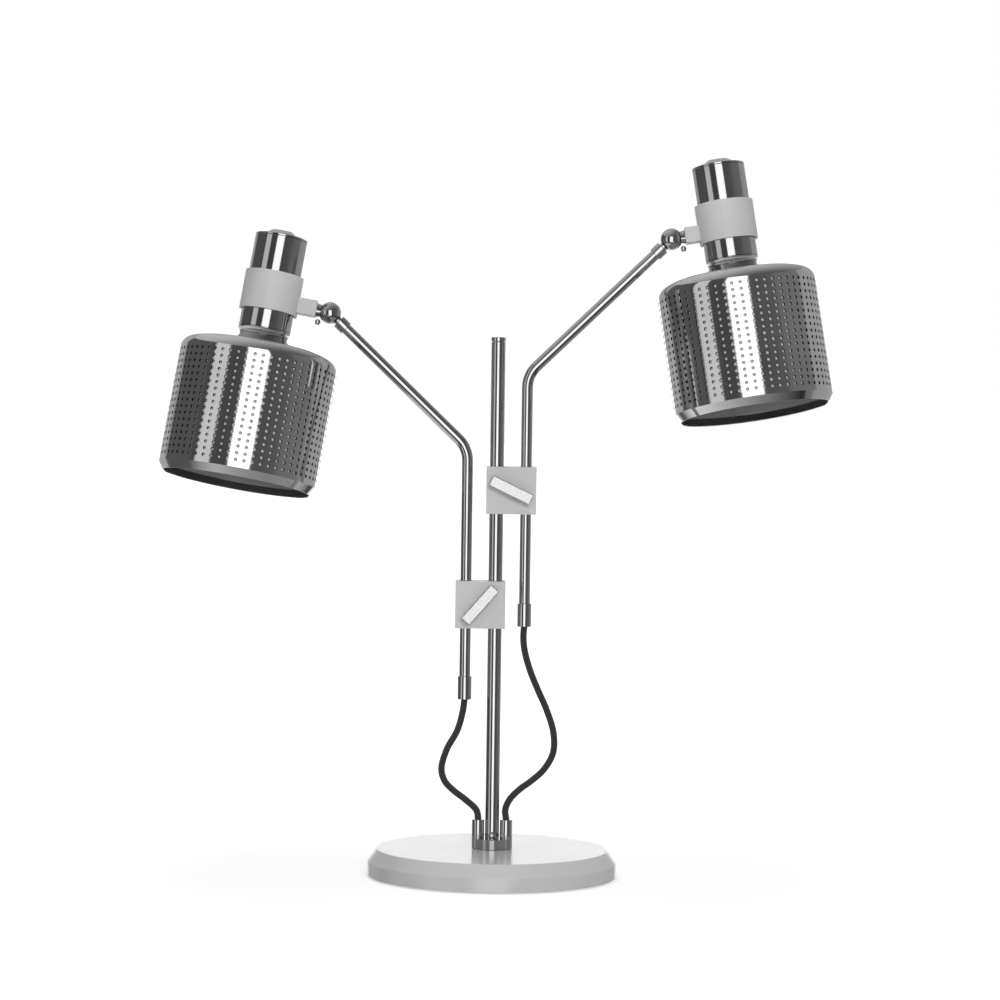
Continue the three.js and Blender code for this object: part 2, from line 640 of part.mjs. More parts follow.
function makeShadeAndNeck({ name, offset }, group) {
  const onAxis = (geometry) => solid(geometry.translate(-offset, 0, HEAD_RAISE));
  const neckR = NECK_D / 2;
  const collarInner = neckR + GAP;
  const lug = box(collarInner + 1 - offset, -LUG_END_GAP, -LUG / 2, LUG / 2,
    HEAD_RAISE - LUG / 2, HEAD_RAISE + LUG / 2);
  const nippleBore = rod(CUP.nippleR + GAP, 0, LUG_END_GAP + CUP.nippleL, ROUND_TUBE);
  add(group, `${name}_collar`, onAxis(
    ring(COLLAR_D / 2, collarInner, COLLAR_TOP_Z - COLLAR_H, COLLAR_TOP_Z, ROUND_NECK))
    .add(solid(lug))
    .subtract(onAxis(rod(collarInner, -COLLAR_H, COLLAR_H, ROUND_NECK)))
    .subtract(solid(nippleBore.rotateY(-Math.PI / 2))), FINISH.satinPaint);

  const shade = shadeProfile();
  const neckTop = CAP_SHOULDER_Z - CAP.rim - GAP;
  add(group, `${name}_neck_tube`, onAxis(
    ring(neckR, neckR - NECK_WALL, shade.neckZ + GAP, neckTop, ROUND_NECK)), FINISH.darkNickel);
  const capTop = CAP_SHOULDER_Z + CAP.coneH;
  const plugR = neckR - NECK_WALL - GAP;
  add(group, `${name}_neck_cap`, onAxis(turned([
    [0, capTop],
    [CAP.topR, capTop],
    [neckR, CAP_SHOULDER_Z],
    [neckR, CAP_SHOULDER_Z - CAP.rim],
    [plugR, CAP_SHOULDER_Z - CAP.rim],
    [plugR, CAP_SHOULDER_Z - CAP.spigot],
    [plugR - CAP.wall, CAP_SHOULDER_Z - CAP.spigot],
    [plugR - CAP.wall, CAP_SHOULDER_Z - CAP.wall],
    [CAP.topR, capTop - CAP.wall],
    [0, capTop - CAP.wall],
  ], ROUND_NECK)), FINISH.darkNickel);
  add(group, `${name}_shade`, onAxis(turned(shade.points, ROUND_SHADE)), FINISH.darkNickel);

  // E27 lampholder, clamped by its flange in the shade's spigot
  const flangeR = shade.spigotInner - GAP;
  const flangeZ = shade.neckZ + SPIGOT_H - HOLDER.flangeH;
  const bottom = shade.neckZ - HOLDER.below;
  const boreTop = bottom + HOLDER.boreTop;
  add(group, `${name}_lampholder`, onAxis(turned([
    [0, bottom + HOLDER.below + HOLDER.above],
    [HOLDER.bodyR - 3, bottom + HOLDER.below + HOLDER.above],
    [HOLDER.bodyR, bottom + HOLDER.below + HOLDER.above - 3],
    [HOLDER.bodyR, flangeZ + HOLDER.flangeH],
    [flangeR, flangeZ + HOLDER.flangeH],
    [flangeR, flangeZ],
    [HOLDER.bodyR, flangeZ],
    [HOLDER.bodyR, bottom],
    [HOLDER.boreR, bottom],
    [HOLDER.boreR, boreTop],
    [0, boreTop],
  ], ROUND_NECK)), FINISH.porcelain);
  add(group, `${name}_lamp_contact`, onAxis(turned([
    [0, boreTop - GAP],
    [HOLDER.boreR - GAP, boreTop - GAP],
    [HOLDER.boreR - GAP, boreTop - GAP - CONTACT.h],
    [CONTACT.pinR, boreTop - GAP - CONTACT.h],
    [CONTACT.pinR, boreTop - GAP - CONTACT.h - CONTACT.pinH],
    [0, boreTop - GAP - CONTACT.h - CONTACT.pinH],
  ], ROUND_TUBE)), FINISH.brass);
}

// A cord from its gland up to its arm's ferrule, in three stretches that follow each other.
function makeCord({ name, side, bendZ }) {
  const ferruleZ = bendZ - ARM_DROP;
  const ends = [
    [[GLAND_X, GLAND_TOP - CORD_IN_GLAND], [GLAND_X, GLAND_TOP]],
    [[TUBE_SPACING, ferruleZ], [TUBE_SPACING, ferruleZ + CORD_IN_GLAND]],
  ];
  const route = [...ends[0], ...CORD_ROUTES[name], ...ends[1]]
    .map(([x, z]) => new THREE.Vector3(side * x, 0, z));
  const line = new THREE.CatmullRomCurve3(route, false, "centripetal");
  const parts = ["lower", "middle", "upper"];
  const steps = Math.round(line.getLength() / parts.length / CORD_STEP);
  parts.forEach((part, k) => {
    const stations = [];
    const directions = [];
    for (let i = 0; i <= steps; i++) {
      const u = (k + i / steps) / parts.length;
      stations.push(line.getPointAt(u));
      directions.push(line.getTangentAt(u));
    }
    if (k > 0) stations[0].addScaledVector(directions[0], GAP);
    const section = circleShape(CORD_D / 2, CORD_SIDES);
    add(lamp, `${name}_cord_${part}`, solid(sweep(section, stations, directions)),
      FINISH.fabricCord);
  });
}

makeBase();
makeStem();
for (const which of LAMPS) {
  makeGland(which);
  makeClamp(which);
  makeArm(which);
  makeHead(which);
  makeCord(which);
}

export default lamp;
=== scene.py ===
# Double-head table lamp, dressed. Metres, in the frame's own axes: +Z up, +X to the viewer's right
# and -Y towards the viewer. Pieces are modelled in their own place and shown with real finishes,
# where some darker metal is painted shade.
import json
import math

import bmesh
import bpy
from mathutils import Matrix, Vector


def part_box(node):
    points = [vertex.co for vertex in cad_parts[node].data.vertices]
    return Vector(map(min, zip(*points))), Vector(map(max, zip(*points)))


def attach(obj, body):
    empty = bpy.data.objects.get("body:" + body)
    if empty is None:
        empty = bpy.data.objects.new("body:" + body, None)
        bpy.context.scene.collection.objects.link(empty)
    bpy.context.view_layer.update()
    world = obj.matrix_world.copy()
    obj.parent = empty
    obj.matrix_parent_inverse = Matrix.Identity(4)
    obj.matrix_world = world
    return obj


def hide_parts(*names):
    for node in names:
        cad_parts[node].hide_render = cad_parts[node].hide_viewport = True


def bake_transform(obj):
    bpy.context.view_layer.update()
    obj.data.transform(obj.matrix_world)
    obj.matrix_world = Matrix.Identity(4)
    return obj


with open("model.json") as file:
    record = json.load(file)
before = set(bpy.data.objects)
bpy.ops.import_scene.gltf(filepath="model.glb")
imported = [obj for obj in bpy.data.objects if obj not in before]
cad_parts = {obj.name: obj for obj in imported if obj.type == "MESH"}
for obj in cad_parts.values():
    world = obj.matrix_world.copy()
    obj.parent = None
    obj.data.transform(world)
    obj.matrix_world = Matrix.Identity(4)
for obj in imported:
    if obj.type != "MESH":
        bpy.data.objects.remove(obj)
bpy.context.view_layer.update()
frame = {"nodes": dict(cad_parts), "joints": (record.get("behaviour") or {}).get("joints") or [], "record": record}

MM = 0.001
JOINTS = {j["name"]: j for j in frame["joints"]}
FULL_TURN = 2 * math.pi

# Vertices nearer than this are one
MERGE = 0.002 * MM

# A cutter this long goes through any piece
THROUGH = 1

# Steps round a full turn
ROUND_WIDE = 144
ROUND_TUBE = 72
ROUND_SMALL = 36

# Sizes that both lamps share
GAP = 0.3 * MM
TUBE_SPACING = 26.5 * MM
TUBE_R = 5 * MM
BEND_R = 27 * MM
BEND_STEPS = 28
SCREW_HOLE_R = 3.3 * MM
CORD_D = 6 * MM
CORD_BORE_R = 3.3 * MM
CORD_IN_GLAND = 6.5 * MM
FERRULE_SHELF = 8 * MM  # where the tube ends in its ferrule
SLEEVE_START = 11 * MM
SLEEVE_L = 9.3 * MM
SLEEVE_SHELF = 5 * MM  # where the tube ends in its sleeve
BALL_R = 10 * MM
STUD_R = 4 * MM
HEAD_PITCH = math.radians(8.4)
HEAD_RAISE = 1 * MM
NECK_R = 23.8 * MM
NECK_WALL = 1.2 * MM
CAP_SHOULDER_Z = 58.6 * MM
CAP_RIM = 1.6 * MM
CAP_TOP_R = 15 * MM
CAP_CONE_H = 4.4 * MM
COLLAR_R = 26.3 * MM
COLLAR_TOP_Z = 24.4 * MM
COLLAR_H = 35.2 * MM
LUG = 14 * MM
LUG_END_GAP = 12.5 * MM
SHADE_R = 71.5 * MM
SHADE_WALL = 1 * MM
SHADE_TOP_Z = -54.8 * MM
SHADE_WALL_H = 105.4 * MM
SHOULDER_R = 11.5 * MM
DOME_SLOPE = math.radians(18.5)
FILLET_R = 4.5 * MM
SPIGOT_H = 12 * MM
RIM_R = 67 * MM
RIM_H = 7.1 * MM
HOLE_COLUMNS = 60
HOLE_ROWS = 17
HOLE_PITCH_Z = 5.93 * MM
HOLE_R = 1.45 * MM
HOLE_SIDES = 12
HOLE_DEPTH = 2.1 * MM  # the wall is this thick where it is perforated
HOLE_EDGE = 0.2 * MM  # of the bevel round each hole
PLAIN_BAND = 3.7 * MM  # under the lowest row's cells
LINER_WALL = 0.6 * MM

# Each lamp: its side, its head's distance from the ball, the bend's height and the lever's turn
LAMPS = {
    "left": {"side": -1, "offset": 55 * MM, "bend_z": 387.2 * MM, "lever": 49},
    "right": {"side": 1, "offset": 50.8 * MM, "bend_z": 453.7 * MM, "lever": -25.5},
}

# Each cord's route between its straight ends, as (x, z) in millimetres with x away from the stem
CORD_ROUTES = {
    "left": [
        (14.4, 59.8), (24.1, 68.9), (35.7, 77.7), (43.2, 85.6), (46.4, 96.5), (42.1, 113.9),
        (32.4, 132.2), (27.8, 149.5),
    ],
    "right": [
        (11.7, 60.1), (15.3, 69.3), (23.8, 78.5), (35.5, 87.4), (46.1, 97.4), (54.2, 112.5),
        (54.4, 130.5), (48, 151.2), (39.8, 169.4), (32.3, 187.4), (27.2, 205.5), (26, 217),
    ],
}


# Materials


def linear(code):
    """An sRGB hex colour as linear RGBA."""
    parts = [int(code[i:i + 2], 16) / 255 for i in (1, 3, 5)]
    return [c / 12.92 if c <= 0.04045 else ((c + 0.055) / 1.055) ** 2.4 for c in parts] + [1]


def add(tree, kind, inputs=(), stops=(), **settings):
    """A node with its settings. An input is a value, or a node for its first output, or an output.

    A colour ramp's stops are (position, grey or hex colour).
    """
    node = tree.nodes.new(kind)
    for name, value in settings.items():
        setattr(node, name, value)
    for name, value in dict(inputs).items():
        if isinstance(value, bpy.types.Node):
            value = value.outputs[0]
        if isinstance(value, bpy.types.NodeSocket):
            tree.links.new(value, node.inputs[name])
        else:
            node.inputs[name].default_value = value
    while stops and len(node.color_ramp.elements) < len(stops):
        node.color_ramp.elements.new(1)
    for (at, colour), element in zip(stops, node.color_ramp.elements if stops else ()):
        element.position = at
        element.color = linear(colour) if isinstance(colour, str) else (colour,) * 3 + (1,)
    return node


def material(name, **values):
    """A principled material and its tree, with plain values on the shader."""
    made = bpy.data.materials.new(name)
    made.use_nodes = True
    tree = made.node_tree
    shader = tree.nodes["Principled BSDF"]
    for socket, value in values.items():
        shader.inputs[socket.replace("_", " ")].default_value = value
    return made, tree, shader


def noise(tree, patch, detail):
    """Noise in patches of a size, laid through the piece."""
    place = add(tree, "ShaderNodeTexCoord").outputs["Object"]
    return add(tree, "ShaderNodeTexNoise", {"Vector": place, "Scale": 1 / patch, "Detail": detail})


def tinted(tree, shader, source, dark, light, low=0.3, high=0.7):
    """Colours a surface from dark to light where a source rises from low to high."""
    tint = add(tree, "ShaderNodeValToRGB", {"Fac": source}, stops=[(low, dark), (high, light)])
    tree.links.new(tint.outputs[0], shader.inputs["Base Color"])


def raised(tree, shader, source, depth):
    """Gives a surface a relief of a depth where a source is high."""
    relief = add(tree, "ShaderNodeBump", {"Height": source, "Distance": depth})
    tree.links.new(relief.outputs[0], shader.inputs["Normal"])


def grained(name, patch, detail, dark, light, depth=0.0, **values):
    """A material with one noise in its colour and, with a depth, in its relief."""
    made, tree, shader = material(name, **values)
    grain = noise(tree, patch, detail)
    tinted(tree, shader, grain, dark, light)
    if depth:
        raised(tree, shader, grain, depth)
    return made


def powder_coat(name, dark, light, roughness):
    """Powder coat or stove lacquer on steel, over a very fine orange peel."""
    made, tree, shader = material(name, Roughness=roughness, IOR=1.5)
    tinted(tree, shader, noise(tree, patch=33 * MM, detail=3), dark, light)
    raised(tree, shader, noise(tree, patch=1.1 * MM, detail=2), depth=0.012 * MM)
    return made


def nickel(name, dark, light, smoothest, roughest):
    """Black nickel plate on steel: a dark mirror, or a dull grey where it isn't polished."""
    made, tree, shader = material(name, Metallic=1)
    cloud = noise(tree, patch=45 * MM, detail=4)
    tinted(tree, shader, cloud, dark, light)
    wiped = add(tree, "ShaderNodeMapRange", {
        "Value": cloud, "From Min": 0.3, "From Max": 0.7, "To Min": smoothest, "To Max": roughest,
    })
    tree.links.new(wiped.outputs[0], shader.inputs["Roughness"])
    return made


def moulded(name, dark, light, roughness):
    """Moulded plastic or glazed ceramic: even colour with a faint skin."""
    return grained(name, patch=1.5 * MM, detail=3, dark=dark, light=light, depth=0.01 * MM,
                   Roughness=roughness, IOR=1.5)


def brushed_steel():
    """Bright steel bar, brushed fine: pale, with a short soft grain."""
    return grained("brushed_stainless_steel", patch=0.7 * MM, detail=4, dark="#bcbcbc",
                   light="#d2d2d2", depth=0.02 * MM, Metallic=1, Roughness=0.4)


def zinc_plate():
    """Zinc plated steel: pale grey with cloudy passivation."""
    return grained("zinc_plated_steel", patch=5.5 * MM, detail=3, dark="#9a9c9c",
                   light="#b9bab6", Metallic=1, Roughness=0.38)


def cast_iron():
    """Sand cast iron: dark, dull and grainy."""
    return grained("sand_cast_iron", patch=0.8 * MM, detail=5, dark="#3a3b3e",
                   light="#5a5b5f", depth=0.15 * MM, Metallic=0.6, Roughness=0.75)


def brass():
    """Turned brass contact: warm metal, a little cloudy."""
    return grained("turned_brass", patch=4 * MM, detail=3, dark="#a8853f",
                   light="#c7a35a", Metallic=1, Roughness=0.3)


def felt():
    """Pressed wool felt: dark, matt and fibrous."""
    return grained("pressed_wool_felt", patch=0.9 * MM, detail=6, dark="#1f1f21",
                   light="#3a3a3c", depth=0.4 * MM, Roughness=0.95)


def braided_cord():
    """Braided textile flex: two sets of flat yarns that cross at a slant, about 2.4 mm apart."""
    made, tree, shader = material("braided_textile_flex", Roughness=0.8, Sheen_Weight=0.25)
    braid = add(tree, "ShaderNodeUVMap", uv_map="braid")
    parts = add(tree, "ShaderNodeSeparateXYZ", {"Vector": braid})
    around, along = parts.outputs["X"], parts.outputs["Y"]
    waves = []
    for turn in (1, -1):
        lean = add(tree, "ShaderNodeMath", {0: around, 1: turn}, operation="MULTIPLY")
        run = add(tree, "ShaderNodeMath", {0: along, 1: lean}, operation="ADD")
        phase = add(tree, "ShaderNodeMath", {0: run, 1: FULL_TURN}, operation="MULTIPLY")
        waves.append(add(tree, "ShaderNodeMath", {0: phase}, operation="SINE"))
    product = add(tree, "ShaderNodeMath", {0: waves[0], 1: waves[1]}, operation="MULTIPLY")
    over = add(tree, "ShaderNodeMapRange", {
        "Value": product, "From Min": -1, "From Max": 1, "To Min": 0, "To Max": 1,
    })
    tinted(tree, shader, over, "#141415", "#3d3d40", low=0.15, high=0.85)
    raised(tree, shader, over, depth=0.25 * MM)
    return made


SATIN = powder_coat("satin_powder_coat_on_steel", "#c0c0c0", "#c6c6c6", 0.42)
BASE_COAT = powder_coat("gloss_powder_coat_on_steel", "#c2c2c3", "#c6c6c7", 0.22)
PALE_LACQUER = powder_coat("pale_stove_lacquer_on_steel", "#dededc", "#e6e6e4", 0.6)
# The liner's inside: grey, darker than its pale outside.
LINER_INSIDE_GREY = powder_coat("grey_stove_lacquer_on_steel", "#9a9a98", "#a2a2a0", 0.6)
# The same polished black nickel twice. The first is painted darker: painted shade for the darker reflections of
# tubes, pipes and small parts. The second keeps its own tone, on the shades.
NICKEL_PAINTED_DARKER = nickel("polished_black_nickel", "#a9a9a9", "#b3b3b2", 0.07, 0.1)
SHADE_NICKEL = nickel("polished_black_nickel_on_spinnings", "#bcbcbc", "#c6c6c5", 0.07, 0.1)
DULL_NICKEL = nickel("unpolished_black_nickel", "#8a8a8a", "#929292", 0.5, 0.6)
# Dark metal on the walls of the holes: painted shade in them.
HOLE_WALL_PAINTED_SHADE = nickel("punched_edge_of_steel_sheet", "#585858", "#646464", 0.5, 0.6)
STEEL = brushed_steel()
ZINC = zinc_plate()
IRON = cast_iron()
NYLON = moulded("moulded_black_nylon", "#18181a", "#232325", 0.5)
POLYAMIDE = moulded("moulded_white_polyamide", "#d4d2cc", "#dcdad4", 0.45)
PORCELAIN = moulded("glazed_porcelain", "#e4e2dc", "#efede8", 0.15)
BRASS = brass()
FELT = felt()
FLEX = braided_cord()
FINISHES = {
    "satin_paint": SATIN, "dark_nickel": NICKEL_PAINTED_DARKER, "brushed_steel": STEEL, "zinc_steel": ZINC,
    "cast_iron": IRON, "black_nylon": NYLON, "white_plastic": POLYAMIDE, "porcelain": PORCELAIN,
    "brass": BRASS, "felt": FELT, "fabric_cord": FLEX,
}
SLOT_OF = {s["node"]: s["material_slot"] for s in frame["record"]["subparts"]}
for node_name, node_object in frame["nodes"].items():
    node_object.data.materials.clear()
    node_object.data.materials.append(FINISHES[SLOT_OF[node_name]])


# Modelling steps


def deselect():
    bpy.ops.object.select_all(action="DESELECT")


def pick(obj):
    """Selects a piece alone and makes it active."""
    deselect()
    obj.select_set(True)
    bpy.context.view_layer.objects.active = obj


def edit_mode():
    bpy.ops.object.mode_set(mode="EDIT")


def object_mode():
    bpy.ops.object.mode_set(mode="OBJECT")


def started(name):
    """The new primitive under its name, in edit mode."""
    obj = bpy.context.object
    obj.name = name
    obj.data.name = name
    edit_mode()
    bpy.ops.mesh.select_mode(type="VERT")
    return obj


def take(obj, kind, test):
    """In edit mode, selects only the vertices, edges or faces whose middle passes the test."""
    bpy.ops.mesh.select_mode(type={"verts": "VERT", "edges": "EDGE", "faces": "FACE"}[kind])
    bpy.ops.mesh.select_all(action="DESELECT")
    mesh = bmesh.from_edit_mesh(obj.data)
    for part in getattr(mesh, kind):
        if kind == "verts":
            middle = part.co
        elif kind == "edges":
            middle = (part.verts[0].co + part.verts[1].co) / 2
        else:
            middle = part.calc_center_median()
        if test(middle):
            part.select = True
    mesh.select_flush_mode()
    bmesh.update_edit_mesh(obj.data)


def moved(step):
    """Options of an extrude operator that moves what it makes."""
    return {"TRANSFORM_OT_translate": {"value": step}}


def cleaned():
    """In edit mode, joins what meets and turns all faces outwards."""
    bpy.ops.mesh.select_all(action="SELECT")
    bpy.ops.mesh.remove_doubles(threshold=MERGE)
    bpy.ops.mesh.normals_make_consistent(inside=False)


def modified(obj, kind, **settings):
    """Adds a modifier and applies it."""
    pick(obj)
    bpy.ops.object.modifier_add(type=kind)
    modifier = obj.modifiers[-1]
    for key, value in settings.items():
        setattr(modifier, key, value)
    bpy.ops.object.modifier_apply(modifier=modifier.name)


def merged(obj, operation, *others):
    """Joins other shapes to a piece or takes them out of it, and removes them."""
    for other in others:
        modified(obj, "BOOLEAN", operation=operation, solver="EXACT", object=other)
        bpy.data.objects.remove(other)


def bevelled(obj, width, segments, angle):
    """Rounds the edges sharper than an angle in degrees, and joins the bevels where they meet."""
    modified(obj, "BEVEL", width=width, segments=segments, limit_method="ANGLE",
             angle_limit=math.radians(angle), miter_outer="MITER_ARC")
    edit_mode()
    bpy.ops.mesh.select_all(action="SELECT")
    bpy.ops.mesh.remove_doubles(threshold=MERGE)
    object_mode()


def smooth(obj, bevel=0.0, segments=3, angle=35):
    """Shades a piece smooth, and first rounds its sharp edges if it has a bevel."""
    if bevel:
        bevelled(obj, bevel, segments, angle)
    pick(obj)
    bpy.ops.object.shade_smooth_by_angle(angle=math.radians(angle))
    modified(obj, "WEIGHTED_NORMAL", keep_sharp=True)


def put(obj, place):
    """Moves a finished piece into its place, which stays in its mesh."""
    obj.matrix_world = place
    pick(obj)
    bpy.ops.object.transform_apply(location=True, rotation=True, scale=True)


def wear(obj, slot, body, *nodes, look=None):
    """Gives a piece its finish if it has none, its body and the CAD nodes that it stands for."""
    if not obj.data.materials:
        obj.data.materials.append(look or FINISHES[slot])
    if nodes:
        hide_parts(*nodes)
    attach(obj, body)


def turned(name, profile, steps=ROUND_TUBE):
    """A piece turned round Z: a point is extruded along the profile of (radius, z), then spun."""
    deselect()
    bpy.ops.mesh.primitive_plane_add(size=MM)
    obj = started(name)
    bpy.ops.mesh.merge(type="CENTER")
    corners = [Vector((r, 0, z)) for r, z in profile]
    bpy.ops.transform.translate(value=corners[0])
    for a, b in zip(corners, corners[1:]):
        bpy.ops.mesh.extrude_region_move(**moved(b - a))
    bpy.ops.mesh.select_all(action="SELECT")
    bpy.ops.mesh.spin(steps=steps, angle=FULL_TURN, center=(0, 0, 0), axis=(0, 0, 1))
    cleaned()
    object_mode()
    return obj


def rod(name, radius, low, high, steps=ROUND_SMALL):
    """A plain round bar along Z, as a cutter or a start."""
    deselect()
    bpy.ops.mesh.primitive_cylinder_add(
        vertices=steps, radius=radius, depth=high - low, location=(0, 0, (low + high) / 2))
    obj = bpy.context.object
    obj.name = name
    bpy.ops.object.transform_apply(location=True, rotation=True, scale=True)
    return obj


def block(name, low, high):
    """A cuboid between two corners."""
    low, high = Vector(low), Vector(high)
    deselect()
    bpy.ops.mesh.primitive_cube_add(size=1, location=(low + high) / 2)
    obj = bpy.context.object
    obj.name = name
    obj.scale = high - low
    bpy.ops.object.transform_apply(location=True, rotation=True, scale=True)
    return obj


def arc(cx, cz, r, start, stop, steps):
    """Points on an arc round (cx, cz), between two angles in degrees."""
    turns = [math.radians(start + (stop - start) * i / steps) for i in range(steps + 1)]
    return [(cx + r * math.cos(a), cz + r * math.sin(a)) for a in turns]


def upright(axis, point):
    """The place whose Z runs along an axis in the XZ plane."""
    return Matrix.Translation(point) @ Matrix.Rotation(math.atan2(axis[0], axis[2]), 4, "Y")


def pivot(joint):
    return Vector(JOINTS[joint]["pos_m"])


def upright_node(node):
    """The middle's x, the radius and the two ends' heights of an upright round CAD node."""
    low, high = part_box(node)
    return (low.x + high.x) / 2, (high.x - low.x) / 2, low.z, high.z


# Facing the viewer: Z becomes -Y
TO_FRONT = Matrix.Rotation(math.pi / 2, 4, "X")


# Camera, fitted to the photograph

CAMERA_AT = Vector((3.2, -3510, 504)) * MM
CAMERA_DOWN = math.radians(2.664)
CAMERA_ROLL = math.radians(0.78)
CAMERA_LENS, CAMERA_SENSOR = 140.4, 36
CAMERA_REACH = 50


def make_camera():
    data = bpy.data.cameras.new("camera")
    data.lens = CAMERA_LENS
    data.sensor_width = CAMERA_SENSOR
    data.clip_end = CAMERA_REACH
    camera = bpy.data.objects.new("camera", data)
    bpy.context.scene.collection.objects.link(camera)
    turn = (Matrix.Rotation(math.pi / 2 - CAMERA_DOWN, 4, "X")
            @ Matrix.Rotation(CAMERA_ROLL, 4, "Z"))
    camera.matrix_world = Matrix.Translation(CAMERA_AT) @ turn
    bpy.context.scene.camera = camera


# Cords


def between(a, b, start, stop, at):
    """The point for a value at, on the line from a, for start, to b, for stop."""
    return a + (b - a) * ((at - start) / (stop - start))


def smooth_line(points, steps=24):
    """Points on the centripetal curve through the given points."""
    ends = [2 * points[0] - points[1]], [2 * points[-1] - points[-2]]
    knots = ends[0] + points + ends[1]
    line = []
    for i in range(1, len(knots) - 2):
        p = knots[i - 1:i + 3]
        t = [0.0]
        for a, b in zip(p, p[1:]):
            t.append(t[-1] + math.sqrt((b - a).length))
        for k in range(steps + (i == len(knots) - 3)):
            at = t[1] + (t[2] - t[1]) * k / steps
            low = [between(p[j], p[j + 1], t[j], t[j + 1], at) for j in range(3)]
            mid = [between(low[j], low[j + 1], t[j], t[j + 2], at) for j in range(2)]
            line.append(between(mid[0], mid[1], t[1], t[2], at))
    return line


def evenly(line, count):
    """The line again as count equal steps, and its length."""
    reach = [0.0]
    for a, b in zip(line, line[1:]):
        reach.append(reach[-1] + (b - a).length)
    found, i = [], 0
    for k in range(count + 1):
        want = reach[-1] * k / count
        while i < len(line) - 2 and reach[i + 1] < want:
            i += 1
        share = (want - reach[i]) / (reach[i + 1] - reach[i])
        found.append(line[i].lerp(line[i + 1], min(max(share, 0), 1)))
    return found, reach[-1]


YARN_PITCH = 2.4 * MM  # along the cord, for one turn of the pattern
YARNS_ROUND = 8
CORD_SIDES = 20
CORD_STEPS = 40  # along each piece of a cord


def cord_piece(name, path, started_at):
    """A round tube along a path in the XZ plane, with a map that runs round and along it."""
    mesh = bmesh.new()
    uv = mesh.loops.layers.uv.new("braid")
    rings, along = [], [started_at]
    for i, point in enumerate(path):
        ahead = path[min(i + 1, len(path) - 1)] - path[max(i - 1, 0)]
        ahead.normalize()
        side = Vector((0, 1, 0))
        across = ahead.cross(side)
        ring = []
        for k in range(CORD_SIDES):
            a = FULL_TURN * k / CORD_SIDES
            out = math.cos(a) * side + math.sin(a) * across
            ring.append(mesh.verts.new(point + CORD_D / 2 * out))
        rings.append(ring)
        if i:
            along.append(along[-1] + (point - path[i - 1]).length)
    for i in range(len(rings) - 1):
        for k in range(CORD_SIDES):
            n = (k + 1) % CORD_SIDES
            face = mesh.faces.new((rings[i][k], rings[i][n], rings[i + 1][n], rings[i + 1][k]))
            face.smooth = True
            places_round = (k, k + 1, k + 1, k)
            for loop, step, row in zip(face.loops, places_round, (i, i, i + 1, i + 1)):
                loop[uv].uv = (YARNS_ROUND * step / CORD_SIDES, along[row] / YARN_PITCH)
    mesh.faces.new(rings[0])
    mesh.faces.new(rings[-1])
    bmesh.ops.recalc_face_normals(mesh, faces=mesh.faces)
    data = bpy.data.meshes.new(name)
    mesh.to_mesh(data)
    mesh.free()
    obj = bpy.data.objects.new(name, data)
    bpy.context.scene.collection.objects.link(obj)
    data.materials.append(FLEX)
    return obj


# The two bodies between which each piece of a cord runs
CORD_BODIES = {
    "lower": ("base", "carriage"), "middle": ("carriage", "clamp"), "upper": ("clamp", "arm_stop"),
}


def make_cord(name):
    side = LAMPS[name]["side"]
    gland_x, _, _, gland_z = upright_node(f"{name}_gland")
    ferrule_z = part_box(f"{name}_ferrule")[0].z
    route = [(abs(gland_x), gland_z - CORD_IN_GLAND), (abs(gland_x), gland_z)]
    route += [(x * MM, z * MM) for x, z in CORD_ROUTES[name]]
    route += [(TUBE_SPACING, ferrule_z), (TUBE_SPACING, ferrule_z + CORD_IN_GLAND)]
    line = smooth_line([Vector((side * x, 0, z)) for x, z in route])
    line, total = evenly(line, 3 * CORD_STEPS)
    for k, (part, (a, b)) in enumerate(CORD_BODIES.items()):
        path = line[k * CORD_STEPS:(k + 1) * CORD_STEPS + 1]
        obj = cord_piece(f"{name}_flex_{part}", path, total * k / 3)
        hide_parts(f"{name}_cord_{part}")
        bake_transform(obj)


# Base


def make_base_cover():
    low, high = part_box("base_cover")
    radius, top = high.x, high.z
    chamfer_w, chamfer_h, wall = 8.5 * MM, 11.5 * MM, 2.5 * MM
    top_edge = 6 * MM  # of the flat top, kept apart so that the bevel shades evenly
    inner_edge = top - chamfer_h - 1 * MM
    shell = turned("base_shell", [
        (0, top), (radius - chamfer_w - top_edge, top), (radius - chamfer_w, top),
        (radius, top - chamfer_h), (radius, low.z), (radius - wall, low.z),
        (radius - wall, inner_edge), (radius - chamfer_w - wall, top - wall),
        (0, top - wall),
    ], ROUND_WIDE)
    smooth(shell, bevel=0.7 * MM)
    wear(shell, "satin_paint", "base", "base_cover", look=BASE_COAT)


def make_mains_gland():
    low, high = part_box("mains_gland")
    shank, head, nose, head_l, rim_l = 4.5 * MM, 5.6 * MM, 4.6 * MM, 3 * MM, 1.5 * MM
    face = high.y - head_l
    gland = turned("mains_cord_gland", [
        (CORD_BORE_R, low.y), (shank, low.y), (shank, face), (head, face), (head, face + rim_l),
        (nose, high.y), (CORD_BORE_R, high.y), (CORD_BORE_R, low.y),
    ])
    smooth(gland, bevel=0.3 * MM)
    place = Matrix.Translation((0, 0, (low.z + high.z) / 2)) @ Matrix.Rotation(-math.pi / 2, 4, "X")
    put(gland, place)
    wear(gland, "black_nylon", "base", "mains_gland")


SOCKET_FLOOR = 0.35  # of a head's height, left under its socket


